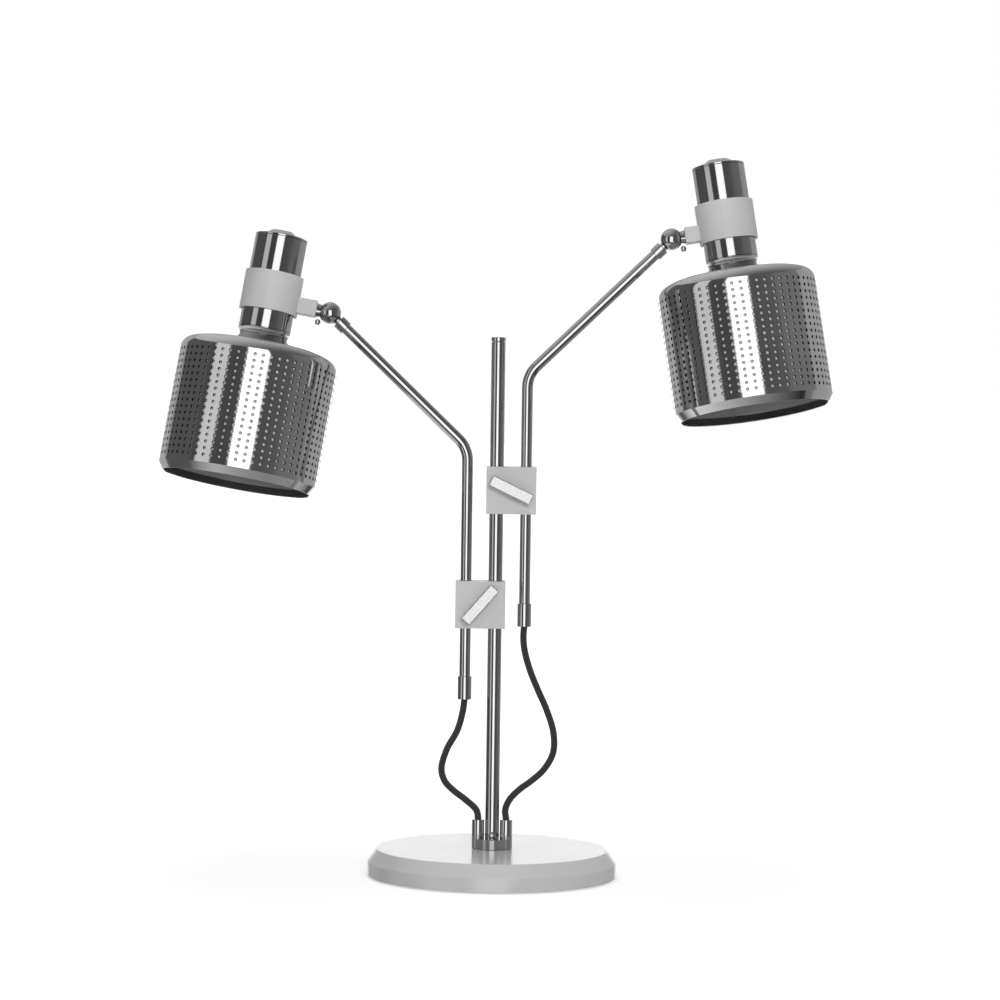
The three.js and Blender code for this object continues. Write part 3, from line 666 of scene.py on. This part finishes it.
def socket_screw(name, head_r, head_h, shank_r, shank_l, key_r, domed=False):
    """A small screw with a hexagon socket. Its seat is at z = 0, with the head above."""
    crown = [(head_r, 0), (head_r, head_h), (0, head_h)]
    if domed:
        slopes = [math.radians(a) for a in range(0, 90, 15)]
        crown = [(head_r * math.cos(a), head_h * math.sin(a)) for a in slopes] + [(0, head_h)]
    screw = turned(name, [(0, -shank_l), (shank_r, -shank_l), (shank_r, 0), *crown], ROUND_SMALL)
    key = rod(f"{name}_key", key_r, head_h * SOCKET_FLOOR, head_h + MM, 6)
    merged(screw, "DIFFERENCE", key)
    smooth(screw, bevel=0.12 * MM, segments=2)
    return screw


STEM_LOW, STEM_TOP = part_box("stem")
STEM_R = STEM_TOP.x


def make_stem():
    bore = STEM_R - 1.5 * MM
    stem = turned("stem_pipe", [
        (bore, STEM_LOW.z), (STEM_R, STEM_LOW.z), (STEM_R, STEM_TOP.z), (bore, STEM_TOP.z),
        (bore, STEM_LOW.z),
    ], ROUND_WIDE)
    smooth(stem, bevel=0.2 * MM)
    wear(stem, "dark_nickel", "base", "stem")


def make_stem_cap():
    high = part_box("stem_cap")[1]
    plug_r, plug_low, seat = STEM_R - 1.8 * MM, STEM_TOP.z - 12 * MM, STEM_TOP.z + GAP
    cap = turned("stem_top_cap", [
        (0, plug_low), (plug_r, plug_low), (plug_r, seat), (high.x, seat), (high.x, high.z),
        (0, high.z),
    ], ROUND_WIDE)
    smooth(cap, bevel=0.5 * MM)
    wear(cap, "dark_nickel", "base", "stem_cap")


def make_stem_foot():
    """The boss round the stem, cut out round the two cord glands."""
    low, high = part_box("stem_foot_boss")
    gland_x, gland_r = upright_node("right_gland")[:2]
    play = 0.15 * MM
    boss = rod("stem_foot", high.y, low.z, high.z, ROUND_WIDE)
    holes = [rod("stem_hole", STEM_R + play, 0, THROUGH, ROUND_TUBE)]
    for side in (-1, 1):
        hole = rod("gland_hole", gland_r + play, 0, THROUGH, ROUND_TUBE)
        put(hole, Matrix.Translation((side * gland_x, 0, 0)))
        holes.append(hole)
    merged(boss, "DIFFERENCE", *holes)
    smooth(boss, bevel=0.18 * MM)
    wear(boss, "dark_nickel", "base", "stem_foot_boss")


def make_stem_screw():
    screw = socket_screw("stem_lock_screw", head_r=3 * MM, head_h=2.2 * MM, shank_r=1.5 * MM,
                         shank_l=1.5 * MM, key_r=1.2 * MM, domed=True)
    low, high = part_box("stem_screw")
    put(screw, Matrix.Translation((0, -STEM_R - GAP, (low.z + high.z) / 2)) @ TO_FRONT)
    wear(screw, "dark_nickel", "base", "stem_screw")


def make_gland(name):
    x, radius, low, high = upright_node(f"{name}_gland")
    shank, seat = 4.3 * MM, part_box("base_cover")[1].z + GAP
    gland = turned(f"{name}_cord_gland", [
        (CORD_BORE_R, low), (shank, low), (shank, seat), (radius, seat), (radius, high),
        (CORD_BORE_R, high), (CORD_BORE_R, low),
    ])
    smooth(gland, bevel=0.45 * MM)
    put(gland, Matrix.Translation((x, 0, 0)))
    wear(gland, "dark_nickel", "base", f"{name}_gland")


CORD_SCREW_TURN = math.radians(25)  # outwards from the front


def make_cord_screw(name):
    """The screw that grips the cord in its gland."""
    screw = socket_screw(f"{name}_cord_screw", head_r=1.9 * MM, head_h=1.2 * MM,
                         shank_r=1.1 * MM, shank_l=2.3 * MM, key_r=0.8 * MM)
    gland_x, gland_r = upright_node(f"{name}_gland")[:2]
    low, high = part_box(f"{name}_gland_screw")
    turn = Matrix.Rotation(CORD_SCREW_TURN * -LAMPS[name]["side"], 4, "Z")
    at = Matrix.Translation((gland_x, 0, (low.z + high.z) / 2))
    put(screw, at @ turn @ Matrix.Translation((0, -gland_r - GAP, 0)) @ TO_FRONT)
    wear(screw, "dark_nickel", "base", f"{name}_gland_screw")


# Clamp blocks


def make_jaws(name):
    """The two halves of a clamp block, bored for the stem, the arm and the clamp screw."""
    stem_hole_r, arm_hole_r = 7.75 * MM, 6.4 * MM
    screw_hole_end = 50 * MM  # well outside both halves
    lever_at = pivot(f"{name}_lever_turn")
    for jaw in ("front", "rear"):
        low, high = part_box(f"{name}_{jaw}_jaw")
        piece = block(f"{name}_{jaw}_clamp_half", low, high)
        stem_hole = rod("hole", stem_hole_r, 0, THROUGH, ROUND_TUBE)
        arm_hole = rod("hole", arm_hole_r, 0, THROUGH, ROUND_TUBE)
        put(arm_hole, Matrix.Translation((LAMPS[name]["side"] * TUBE_SPACING, 0, 0)))
        screw_hole = rod("hole", SCREW_HOLE_R, -screw_hole_end, screw_hole_end)
        put(screw_hole, Matrix.Translation(lever_at) @ TO_FRONT)
        merged(piece, "DIFFERENCE", stem_hole, arm_hole, screw_hole)
        smooth(piece, bevel=0.55 * MM, segments=4)
        wear(piece, "satin_paint", f"{name}_clamp", f"{name}_{jaw}_jaw")


LEVER_STAND_OFF = 16 * MM  # from the lever's pivot to the back of its bar


def make_lever_bar(name):
    length, width, depth = 40 * MM, 9.5 * MM, 8 * MM
    bar = block(f"{name}_lever_bar", (-length / 2, -LEVER_STAND_OFF - depth, -width / 2),
                (length / 2, -LEVER_STAND_OFF, width / 2))
    smooth(bar, bevel=0.7 * MM, segments=4)
    turn = Matrix.Rotation(math.radians(-LAMPS[name]["lever"]), 4, "Y")
    put(bar, Matrix.Translation(pivot(f"{name}_lever_turn")) @ turn)
    wear(bar, "brushed_steel", f"{name}_handle", f"{name}_lever")


def make_lever_spindle(name):
    thread_r, shoulder_r = 3 * MM, 4.5 * MM
    in_bar = 1 * MM
    rear, shoulder, front = -17 * MM, 11.3 * MM, LEVER_STAND_OFF + in_bar
    spindle = turned(f"{name}_lever_spindle", [
        (0, rear), (thread_r, rear), (thread_r, shoulder), (shoulder_r, shoulder),
        (shoulder_r, front), (0, front),
    ], ROUND_SMALL)
    smooth(spindle, bevel=0.3 * MM)
    put(spindle, Matrix.Translation(pivot(f"{name}_lever_turn")) @ TO_FRONT)
    wear(spindle, "brushed_steel", f"{name}_handle")


# Arms


def arm_end(name):
    """The middle of an arm's ball and the arm's direction there."""
    return pivot(f"{name}_ball_swivel"), Vector(JOINTS[f"{name}_ball_swivel"]["axis"])


def make_arm_tube(name):
    """A tube extruded up from its ferrule, round the bend, and on to its sleeve."""
    side, bend_z = LAMPS[name]["side"], LAMPS[name]["bend_z"]
    ball, along = arm_end(name)
    lean = math.atan2(abs(along.x), along.z)
    tangent = BEND_R * math.tan(lean / 2)
    ferrule_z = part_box(f"{name}_ferrule")[0].z
    start = Vector((side * TUBE_SPACING, 0, ferrule_z + FERRULE_SHELF + GAP))
    bend_low = Vector((side * TUBE_SPACING, 0, bend_z - tangent))
    bend_high = Vector((side * TUBE_SPACING, 0, bend_z)) + along * tangent
    end = ball - along * (SLEEVE_START + SLEEVE_SHELF + GAP)
    deselect()
    bpy.ops.mesh.primitive_circle_add(vertices=ROUND_TUBE, radius=TUBE_R, location=start)
    tube = bpy.context.object
    bpy.ops.object.transform_apply(location=True, rotation=True, scale=True)
    started(f"{name}_bent_arm")
    bpy.ops.mesh.select_mode(type="EDGE")
    bpy.ops.mesh.select_all(action="SELECT")
    bpy.ops.mesh.extrude_region_move(**moved(bend_low - start))
    bpy.ops.mesh.spin(steps=BEND_STEPS, angle=-side * lean, axis=(0, 1, 0),
                      center=bend_low + Vector((side * BEND_R, 0, 0)))
    bpy.ops.mesh.extrude_region_move(**moved(end - bend_high))
    for middle in (start, end):
        take(tube, "edges", lambda p: (p - middle).length < 1.01 * TUBE_R)
        bpy.ops.mesh.edge_face_add()
    cleaned()
    object_mode()
    smooth(tube)
    wear(tube, "dark_nickel", f"{name}_arm", f"{name}_arm_tube")


TUBE_HOLE_R = TUBE_R + GAP


def make_ferrule(name):
    radius, low, high = upright_node(f"{name}_ferrule")[1:]
    height = high - low
    ferrule = turned(f"{name}_cord_ferrule", [
        (CORD_BORE_R, 0), (radius, 0), (radius, height), (TUBE_HOLE_R, height),
        (TUBE_HOLE_R, FERRULE_SHELF), (CORD_BORE_R, FERRULE_SHELF), (CORD_BORE_R, 0),
    ])
    smooth(ferrule, bevel=0.5 * MM)
    put(ferrule, Matrix.Translation((LAMPS[name]["side"] * TUBE_SPACING, 0, low)))
    wear(ferrule, "dark_nickel", f"{name}_arm", f"{name}_ferrule")


def make_sleeve(name):
    ball, along = arm_end(name)
    stud_hole_r, radius = STUD_R + GAP, 6.3 * MM
    shelf, end = SLEEVE_START + SLEEVE_SHELF, SLEEVE_START + SLEEVE_L
    sleeve = turned(f"{name}_knuckle_sleeve", [
        (stud_hole_r, SLEEVE_START), (radius, SLEEVE_START), (radius, end), (TUBE_HOLE_R, end),
        (TUBE_HOLE_R, shelf), (stud_hole_r, shelf), (stud_hole_r, SLEEVE_START),
    ])
    smooth(sleeve, bevel=0.5 * MM)
    put(sleeve, upright(-along, ball))
    wear(sleeve, "dark_nickel", f"{name}_arm", f"{name}_arm_sleeve")


def make_ball(name):
    """A ball on its stud, which ends inside the sleeve."""
    ball, along = arm_end(name)
    neck_turn, end = math.degrees(math.asin(STUD_R / BALL_R)), SLEEVE_START + SLEEVE_SHELF - GAP
    profile = arc(0, 0, BALL_R, -90, 90 - neck_turn, 30)
    profile[0] = (0, -BALL_R)
    stud = turned(f"{name}_ball_stud", [*profile, (STUD_R, end), (0, end)])
    smooth(stud)
    put(stud, upright(-along, ball))
    wear(stud, "dark_nickel", f"{name}_ball_stud", f"{name}_ball")


# Heads


def joint_place(name):
    """The place of a head's pivot: X runs from the head to the ball, Z along the head's axis."""
    x = Vector(JOINTS[f"{name}_head_roll"]["axis"])
    y = Vector(JOINTS[f"{name}_head_tilt"]["axis"])
    turn = Matrix((x, y, x.cross(y))).transposed().to_4x4()
    return Matrix.Translation(pivot(f"{name}_head_tilt")) @ turn


def make_ball_cup(name):
    """The cup round a ball, open towards the arm, with a jaw below and a pin into the collar."""
    hollow_r = BALL_R + GAP
    hollow = turned("hollow", [(0, -hollow_r), *arc(0, 0, hollow_r, -88, 88, 36), (0, hollow_r)])
    mouth_r, mouth, back_r, back = 5.8 * MM, 7.5 * MM, 6.7 * MM, LUG_END_GAP - GAP
    pin_r, pin_end = 4.5 * MM, back + 9 * MM
    cup = turned(f"{name}_ball_socket", [
        (0, 0), (mouth_r, 0), (mouth_r, mouth), (back_r, back), (pin_r, back), (pin_r, pin_end),
        (0, pin_end),
    ])
    put(cup, Matrix.Rotation(-math.pi / 2, 4, "Y"))
    jaw_w, jaw_h, jaw_x = 7 * MM, 7.7 * MM, -6.5 * MM
    jaw = block("jaw", (-back, -jaw_w / 2, -jaw_h), (jaw_x, jaw_w / 2, 0))
    merged(cup, "UNION", jaw)
    merged(cup, "DIFFERENCE", hollow)
    smooth(cup, bevel=0.25 * MM)
    put(cup, joint_place(name))
    wear(cup, "dark_nickel", f"{name}_cup", f"{name}_ball_cup")


# A thumb screw's profile under the joint, as (radius, z) in millimetres, and its place
THUMB_SCREW = [
    (0, -4.5), (0.3, -4.5), (1.2, -5.9), (1.2, -8.1), (2.2, -8.1), (2.6, -10.3), (1.8, -12.5),
    (0, -12.5),
]
THUMB_SCREW_X = -9.6 * MM


def make_thumb_screw(name):
    screw = turned(f"{name}_thumb_knob", [(r * MM, z * MM) for r, z in THUMB_SCREW], ROUND_SMALL)
    smooth(screw, bevel=0.3 * MM)
    put(screw, joint_place(name) @ Matrix.Translation((THUMB_SCREW_X, 0, 0)))
    wear(screw, "dark_nickel", f"{name}_knob", f"{name}_thumb_screw")


def shade_outline():
    """The shade's outer fillet and shoulder, and the height at which its spigot starts."""
    shoulder_x = SHADE_R - SHOULDER_R
    shoulder = arc(shoulder_x, SHADE_TOP_Z, SHOULDER_R, 90 - math.degrees(DOME_SLOPE), 0, 10)
    fillet_x = NECK_R + FILLET_R
    touch_r = fillet_x - FILLET_R * math.sin(DOME_SLOPE)
    touch_z = shoulder[0][1] + (shoulder[0][0] - touch_r) * math.tan(DOME_SLOPE)
    fillet_z = touch_z + FILLET_R * math.cos(DOME_SLOPE)
    fillet = arc(fillet_x, fillet_z, FILLET_R, 180, 270 - math.degrees(DOME_SLOPE), 8)
    return fillet, shoulder, fillet_z


NECK_Z = shade_outline()[2]
WALL_LOW = SHADE_TOP_Z - SHADE_WALL_H
SHEET_LOW = WALL_LOW + PLAIN_BAND
SHEET_HIGH = SHEET_LOW + HOLE_ROWS * HOLE_PITCH_Z
RIM_Z = WALL_LOW - RIM_H
NEAR = 0.05 * MM  # of a height, to find the edges there


def hole_cell(name, width):
    """One cell of the perforation: an upright sheet with its hole."""
    deselect()
    bpy.ops.mesh.primitive_plane_add(size=1)
    cell = bpy.context.object
    cell.scale = (width, HOLE_PITCH_Z, 1)
    bpy.ops.object.transform_apply(location=True, rotation=True, scale=True)
    started(name)
    bpy.ops.mesh.subdivide(number_cuts=2)
    take(cell, "faces", lambda p: True)
    bpy.ops.mesh.delete(type="ONLY_FACE")
    inside = 0.45  # of a cell, which leaves its border's edges
    take(cell, "edges",
         lambda p: abs(p.x) < width * inside and abs(p.y) < HOLE_PITCH_Z * inside)
    bpy.ops.mesh.delete(type="EDGE")
    bpy.ops.mesh.primitive_circle_add(vertices=HOLE_SIDES, radius=HOLE_R)
    bpy.ops.transform.rotate(value=math.pi / HOLE_SIDES, orient_axis="Z",
                             center_override=(0, 0, 0))
    bpy.ops.mesh.select_all(action="SELECT")
    bpy.ops.mesh.bridge_edge_loops()
    bpy.ops.mesh.select_all(action="SELECT")
    bpy.ops.transform.rotate(value=-math.pi / 2, orient_axis="X", center_override=(0, 0, 0))
    object_mode()
    return cell


def rolled_sheet(name):
    """The cell repeated as a sheet, rolled up round the axis over the plain band above the rim."""
    width = FULL_TURN * SHADE_R / HOLE_COLUMNS
    sheet = hole_cell(name, width)
    for count, step in ((HOLE_COLUMNS, (width, 0, 0)), (HOLE_ROWS, (0, 0, HOLE_PITCH_Z))):
        modified(sheet, "ARRAY", count=count, use_relative_offset=False,
                 use_constant_offset=True, constant_offset_displace=step,
                 use_merge_vertices=True, merge_threshold=0.01 * MM)
    modified(sheet, "SIMPLE_DEFORM", deform_method="BEND", deform_axis="Z", angle=FULL_TURN)
    corners = [Vector(c) for c in sheet.bound_box]
    low = Vector(map(min, *corners))
    high = Vector(map(max, *corners))
    middle = (low + high) / 2
    put(sheet, Matrix.Translation((-middle.x, -middle.y, SHEET_LOW - low.z)))
    return sheet


def draw_out(shade):
    """In edit mode, extrudes a rolled sheet up into dome and spigot and down into the rim."""
    fillet, shoulder, spigot_z = shade_outline()
    spigot_r = NECK_R - NECK_WALL - GAP
    upward = [*reversed(shoulder), *reversed(fillet), (spigot_r, spigot_z),
              (spigot_r, spigot_z + SPIGOT_H)]
    downward = [(SHADE_R, WALL_LOW), (RIM_R, RIM_Z)]
    for start_z, profile in ((SHEET_HIGH, upward), (SHEET_LOW, downward)):
        take(shade, "edges", lambda p: abs(p.z - start_z) < NEAR)
        at_r, at_z = SHADE_R, start_z
        for r, z in profile:
            bpy.ops.mesh.extrude_region_move(**moved((0, 0, z - at_z)))
            bpy.ops.transform.resize(value=(r / at_r, r / at_r, 1), center_override=(0, 0, 0))
            at_r, at_z = r, z


def make_shade(name, place):
    """The perforated shade. Its wall is thicker where it is perforated."""
    shade = rolled_sheet(f"{name}_perforated_shade")
    edit_mode()
    cleaned()
    draw_out(shade)
    cleaned()
    take(shade, "verts", lambda p: SHEET_LOW - NEAR < p.z < SHEET_HIGH + NEAR)
    bpy.ops.object.vertex_group_assign_new()
    object_mode()
    # Polished nickel outside and unpolished nickel inside. The walls of the holes and the sheet's edges get a dark
    # metal, which paints shade in the holes.
    for look in (SHADE_NICKEL, DULL_NICKEL, HOLE_WALL_PAINTED_SHADE):
        shade.data.materials.append(look)
    modified(shade, "SOLIDIFY", thickness=HOLE_DEPTH, vertex_group=shade.vertex_groups[0].name,
             thickness_vertex_group=SHADE_WALL / HOLE_DEPTH, offset=-1, material_offset=1,
             material_offset_rim=2)
    bevelled(shade, HOLE_EDGE, segments=1, angle=50)

    # The lip of the rim is polished like the outside
    lip = 0.3 * MM
    edit_mode()
    take(shade, "faces", lambda p: p.z < RIM_Z + lip)
    shade.active_material_index = 0
    bpy.ops.object.material_slot_assign()
    object_mode()
    smooth(shade, angle=32)
    put(shade, place)
    wear(shade, "dark_nickel", f"{name}_head", f"{name}_shade")


def make_liner(name, place):
    """The sleeve behind the holes, from shoulder to rim: pale outside, grey inside."""
    radius, above_rim = SHADE_R - HOLE_DEPTH - GAP, 1 * MM
    ends = [(radius, WALL_LOW + above_rim), (radius, SHADE_TOP_Z)]
    liner = turned(f"{name}_shade_liner", ends, ROUND_WIDE)
    liner.data.materials.append(PALE_LACQUER)
    liner.data.materials.append(LINER_INSIDE_GREY)
    modified(liner, "SOLIDIFY", thickness=LINER_WALL, offset=-1, material_offset=1)
    smooth(liner)
    put(liner, place)
    wear(liner, "dark_nickel", f"{name}_head")


NECK_BORE_R = NECK_R - NECK_WALL
CAP_LOW = CAP_SHOULDER_Z - CAP_RIM


def make_neck(name, place):
    low, high = NECK_Z + GAP, CAP_LOW - GAP
    neck = turned(f"{name}_neck_pipe", [
        (NECK_BORE_R, low), (NECK_R, low), (NECK_R, high), (NECK_BORE_R, high),
        (NECK_BORE_R, low),
    ], ROUND_WIDE)
    smooth(neck, bevel=0.25 * MM)
    put(neck, place)
    wear(neck, "dark_nickel", f"{name}_head", f"{name}_neck_tube")


def make_neck_cap(name, place):
    """A shallow turned lid that plugs the neck."""
    plug_r, plug_low, wall = NECK_BORE_R - GAP, CAP_SHOULDER_Z - 8 * MM, 1.5 * MM
    top = CAP_SHOULDER_Z + CAP_CONE_H
    cap = turned(f"{name}_neck_lid", [
        (0, top), (CAP_TOP_R, top), (NECK_R, CAP_SHOULDER_Z), (NECK_R, CAP_LOW),
        (plug_r, CAP_LOW), (plug_r, plug_low), (plug_r - wall, plug_low),
        (plug_r - wall, CAP_SHOULDER_Z - wall), (CAP_TOP_R, top - wall), (0, top - wall),
    ], ROUND_WIDE)
    smooth(cap, bevel=0.35 * MM, angle=12)
    put(cap, place)
    wear(cap, "dark_nickel", f"{name}_head", f"{name}_neck_cap")


def make_collar(name, place):
    """The ring round the neck, with the square lug that holds the ball cup's pin."""
    bore, low = NECK_R + GAP, COLLAR_TOP_Z - COLLAR_H
    collar = turned(f"{name}_head_collar", [
        (bore, low), (COLLAR_R, low), (COLLAR_R, COLLAR_TOP_Z), (bore, COLLAR_TOP_Z),
        (bore, low),
    ], ROUND_WIDE)
    clear_of_bore = 0.5 * MM
    lug = block("lug", (bore + clear_of_bore, -LUG / 2, -LUG / 2),
                (LAMPS[name]["offset"] - LUG_END_GAP, LUG / 2, LUG / 2))
    merged(collar, "UNION", lug)
    smooth(collar, bevel=0.5 * MM)
    put(collar, place)
    wear(collar, "satin_paint", f"{name}_head", f"{name}_collar")


HOLDER_LOW = NECK_Z - 11 * MM
SOCKET_R = 13.5 * MM
SOCKET_TOP = HOLDER_LOW + 27 * MM


def make_lampholder(name, place):
    """A porcelain body with a flange inside the shade's spigot, hollow for the lamp's cap."""
    radius, top, slant = 18.5 * MM, NECK_Z + 34 * MM, 3 * MM
    flange_r, flange_low = NECK_BORE_R - GAP - SHADE_WALL - GAP, NECK_Z + 9 * MM
    flange_top = flange_low + 3 * MM
    holder = turned(f"{name}_bulb_holder", [
        (0, top), (radius - slant, top), (radius, top - slant), (radius, flange_top),
        (flange_r, flange_top), (flange_r, flange_low), (radius, flange_low),
        (radius, HOLDER_LOW), (SOCKET_R, HOLDER_LOW), (SOCKET_R, SOCKET_TOP), (0, SOCKET_TOP),
    ])
    smooth(holder, bevel=0.8 * MM)
    put(holder, place)
    wear(holder, "porcelain", f"{name}_head", f"{name}_lampholder")


def make_lamp_contact(name, place):
    disc_r, disc_top, disc_low = SOCKET_R - GAP, SOCKET_TOP - GAP, SOCKET_TOP - 3.3 * MM
    tip_r, tip_low = 4 * MM, SOCKET_TOP - 5.3 * MM
    contact = turned(f"{name}_bulb_contact", [
        (0, disc_top), (disc_r, disc_top), (disc_r, disc_low), (tip_r, disc_low),
        (tip_r, tip_low), (0, tip_low),
    ], ROUND_SMALL)
    smooth(contact, bevel=0.3 * MM)
    put(contact, place)
    wear(contact, "brass", f"{name}_head", f"{name}_lamp_contact")


HEAD_PIECES = (
    make_shade, make_liner, make_neck, make_neck_cap, make_collar, make_lampholder,
    make_lamp_contact,
)


def make_head(name):
    """All pieces of a head, each turned round the head's own axis."""
    side, offset = LAMPS[name]["side"], LAMPS[name]["offset"]
    head = joint_place(name) @ Matrix.Rotation(side * HEAD_PITCH, 4, "X")
    place = head @ Matrix.Translation((-offset, 0, HEAD_RAISE))
    for make_piece in HEAD_PIECES:
        make_piece(name, place)


# Studio


FLOOR_SIZE = 24
FLOOR_DROP = 0.4 * MM  # below the foot


def make_floor():
    """A pale floor that glows white to the camera, and less so under the object."""
    deselect()
    bpy.ops.mesh.primitive_plane_add(size=FLOOR_SIZE, location=(0, 0, -FLOOR_DROP))
    floor = bpy.context.object
    floor.name = "floor"
    made, tree, shader = material("pale_floor", Base_Color=linear("#e8e8e8"), Roughness=1)
    shader.inputs["Specular IOR Level"].default_value = 0
    rays = add(tree, "ShaderNodeLightPath")
    seen = add(tree, "ShaderNodeMath", {
        0: rays.outputs["Is Camera Ray"], 1: rays.outputs["Is Glossy Ray"],
    }, operation="MAXIMUM")
    place = add(tree, "ShaderNodeTexCoord").outputs["Object"]
    away = add(tree, "ShaderNodeVectorMath", {0: place}, operation="LENGTH").outputs["Value"]
    fade = add(tree, "ShaderNodeMapRange", {
        "Value": away, "From Min": 0.25, "From Max": 1.2, "To Min": 0.54, "To Max": 0.95,
    })
    glow = add(tree, "ShaderNodeEmission", {"Color": (1, 1, 1, 1), "Strength": fade})
    matt = add(tree, "ShaderNodeBsdfDiffuse", {"Color": linear("#d0d0d0")})
    both = add(tree, "ShaderNodeAddShader", {0: glow, 1: matt})
    surface = add(tree, "ShaderNodeMixShader", {0: seen, 1: shader, 2: both})
    tree.links.new(surface.outputs[0], tree.nodes["Material Output"].inputs["Surface"])
    floor.data.materials.append(made)
    floor.visible_glossy = False


# Upright cards round the object, which only polished metal shows, as (azimuth in degrees from the
# viewer, to the right; share of CARD_LIGHT)
CARDS = [
    (-180, 0.68), (-163, 0.68), (-157, 0.22), (-130, 0.26), (-124, 0.06), (-73, 0.06),
    (-70, 0.04), (-67, 0.04), (-64, 0.42), (-43.5, 0.42), (-41.5, 0.043), (-16, 0.043),
    (-14, 1), (15, 1), (17, 0.052), (50, 0.07), (60, 0.1), (98, 0.12), (104, 0.22),
    (157, 0.22), (163, 0.68), (180, 0.68),
]
CARD_LIGHT = 2.3
CARD_DISTANCE = 3.2
CARD_LOW, CARD_HIGH = -1.2, 2.2


def make_cards():
    """A ring of bright and dark cards, unseen by the camera."""
    deselect()
    bpy.ops.mesh.primitive_cylinder_add(
        vertices=ROUND_WIDE, radius=CARD_DISTANCE, depth=CARD_HIGH - CARD_LOW,
        end_fill_type="NOTHING", location=(0, 0, (CARD_HIGH + CARD_LOW) / 2))
    ring = bpy.context.object
    ring.name = "studio_cards"
    made = bpy.data.materials.new("studio_cards")
    made.use_nodes = True
    tree = made.node_tree
    place = add(tree, "ShaderNodeTexCoord").outputs["Object"]
    parts = add(tree, "ShaderNodeSeparateXYZ", {"Vector": place})
    front = add(tree, "ShaderNodeMath", {0: parts.outputs["Y"], 1: -1}, operation="MULTIPLY")
    azimuth = add(tree, "ShaderNodeMath", {0: parts.outputs["X"], 1: front}, operation="ARCTAN2")
    share = add(tree, "ShaderNodeMapRange", {
        "Value": azimuth, "From Min": -math.pi, "From Max": math.pi,
    })
    cards = add(tree, "ShaderNodeValToRGB", {"Fac": share}, stops=[
        ((turn + 180) / 360, light) for turn, light in CARDS
    ])
    glow = add(tree, "ShaderNodeEmission", {"Color": cards, "Strength": CARD_LIGHT})
    tree.links.new(glow.outputs[0], tree.nodes["Material Output"].inputs["Surface"])
    ring.data.materials.append(made)
    ring.visible_camera = False
    ring.visible_diffuse = False
    ring.visible_shadow = False


# The room that metal sees past the cards, from its floor to its ceiling, as (share of the height,
# light), and the side on which it is lighter: behind the object and to its left
ROOM = [(0.16, 0.45), (0.24, 0.06), (0.4, 0.06), (0.6, 0.16), (0.82, 0.3), (1, 0.4)]
ROOM_LIGHT_SIDE = (-0.7, 0.6, 0)
EVEN_LIGHT = 0.4


def make_world():
    """Even white light, a white background, and a room for metal to show."""
    world = bpy.data.worlds.new("studio")
    bpy.context.scene.world = world
    world.use_nodes = True
    tree = world.node_tree
    plain = tree.nodes["Background"]
    plain.inputs["Color"].default_value = (1, 1, 1, 1)
    plain.inputs["Strength"].default_value = EVEN_LIGHT
    rays = add(tree, "ShaderNodeLightPath")
    where = add(tree, "ShaderNodeTexCoord").outputs["Generated"]
    parts = add(tree, "ShaderNodeSeparateXYZ", {"Vector": where})
    height = add(tree, "ShaderNodeMapRange", {
        "Value": parts.outputs["Z"], "From Min": -1, "From Max": 1,
    })
    room = add(tree, "ShaderNodeValToRGB", {"Fac": height}, stops=ROOM)
    to_light = add(tree, "ShaderNodeVectorMath", {0: where, 1: ROOM_LIGHT_SIDE},
                   operation="DOT_PRODUCT")
    daylight = add(tree, "ShaderNodeMapRange", {
        "Value": to_light.outputs["Value"], "From Min": -0.7, "From Max": 0.7,
        "To Min": 0.6, "To Max": 2.6,
    })
    mirror = add(tree, "ShaderNodeBackground", {"Color": room, "Strength": daylight})
    white = add(tree, "ShaderNodeBackground", {"Color": (1, 1, 1, 1), "Strength": 1})
    is_glossy, is_camera = rays.outputs["Is Glossy Ray"], rays.outputs["Is Camera Ray"]
    glossy = add(tree, "ShaderNodeMixShader", {0: is_glossy, 1: plain, 2: mirror})
    seen = add(tree, "ShaderNodeMixShader", {0: is_camera, 1: glossy, 2: white})
    tree.links.new(seen.outputs[0], tree.nodes["World Output"].inputs["Surface"])


def softbox(name, wide, high, power, place, aim):
    """A soft lamp that lights the object and stays out of its reflections."""
    data = bpy.data.lights.new(name, "AREA")
    data.shape = "RECTANGLE"
    data.size, data.size_y = wide, high
    data.energy = power
    light = bpy.data.objects.new(name, data)
    bpy.context.scene.collection.objects.link(light)
    light.location = place
    light.rotation_euler = (Vector(aim) - light.location).to_track_quat("-Z", "Y").to_euler()
    light.visible_glossy = False


def make_lights():
    softbox("overhead_softbox", wide=1.8, high=1.4, power=14, place=(-0.2, 0.1, 2.2),
            aim=(0, 0, 0.1))
    softbox("front_softbox", wide=0.8, high=0.8, power=38, place=(0.45, -2.95, 1.1),
            aim=(0, 0, 0.45))


SHARED_PARTS = (
    make_base_cover, make_mains_gland, make_stem, make_stem_cap, make_stem_foot, make_stem_screw,
)
LAMP_PARTS = (
    make_gland, make_cord_screw, make_jaws, make_lever_bar, make_lever_spindle, make_arm_tube,
    make_ferrule, make_sleeve, make_ball, make_ball_cup, make_thumb_screw, make_head,
)

make_camera()
for lamp_name in LAMPS:
    make_cord(lamp_name)
for make_part in SHARED_PARTS:
    make_part()
for lamp_name in LAMPS:
    for make_part in LAMP_PARTS:
        make_part(lamp_name)
make_floor()
make_cards()
make_world()
make_lights()
bpy.context.scene.view_settings.view_transform = "Standard"
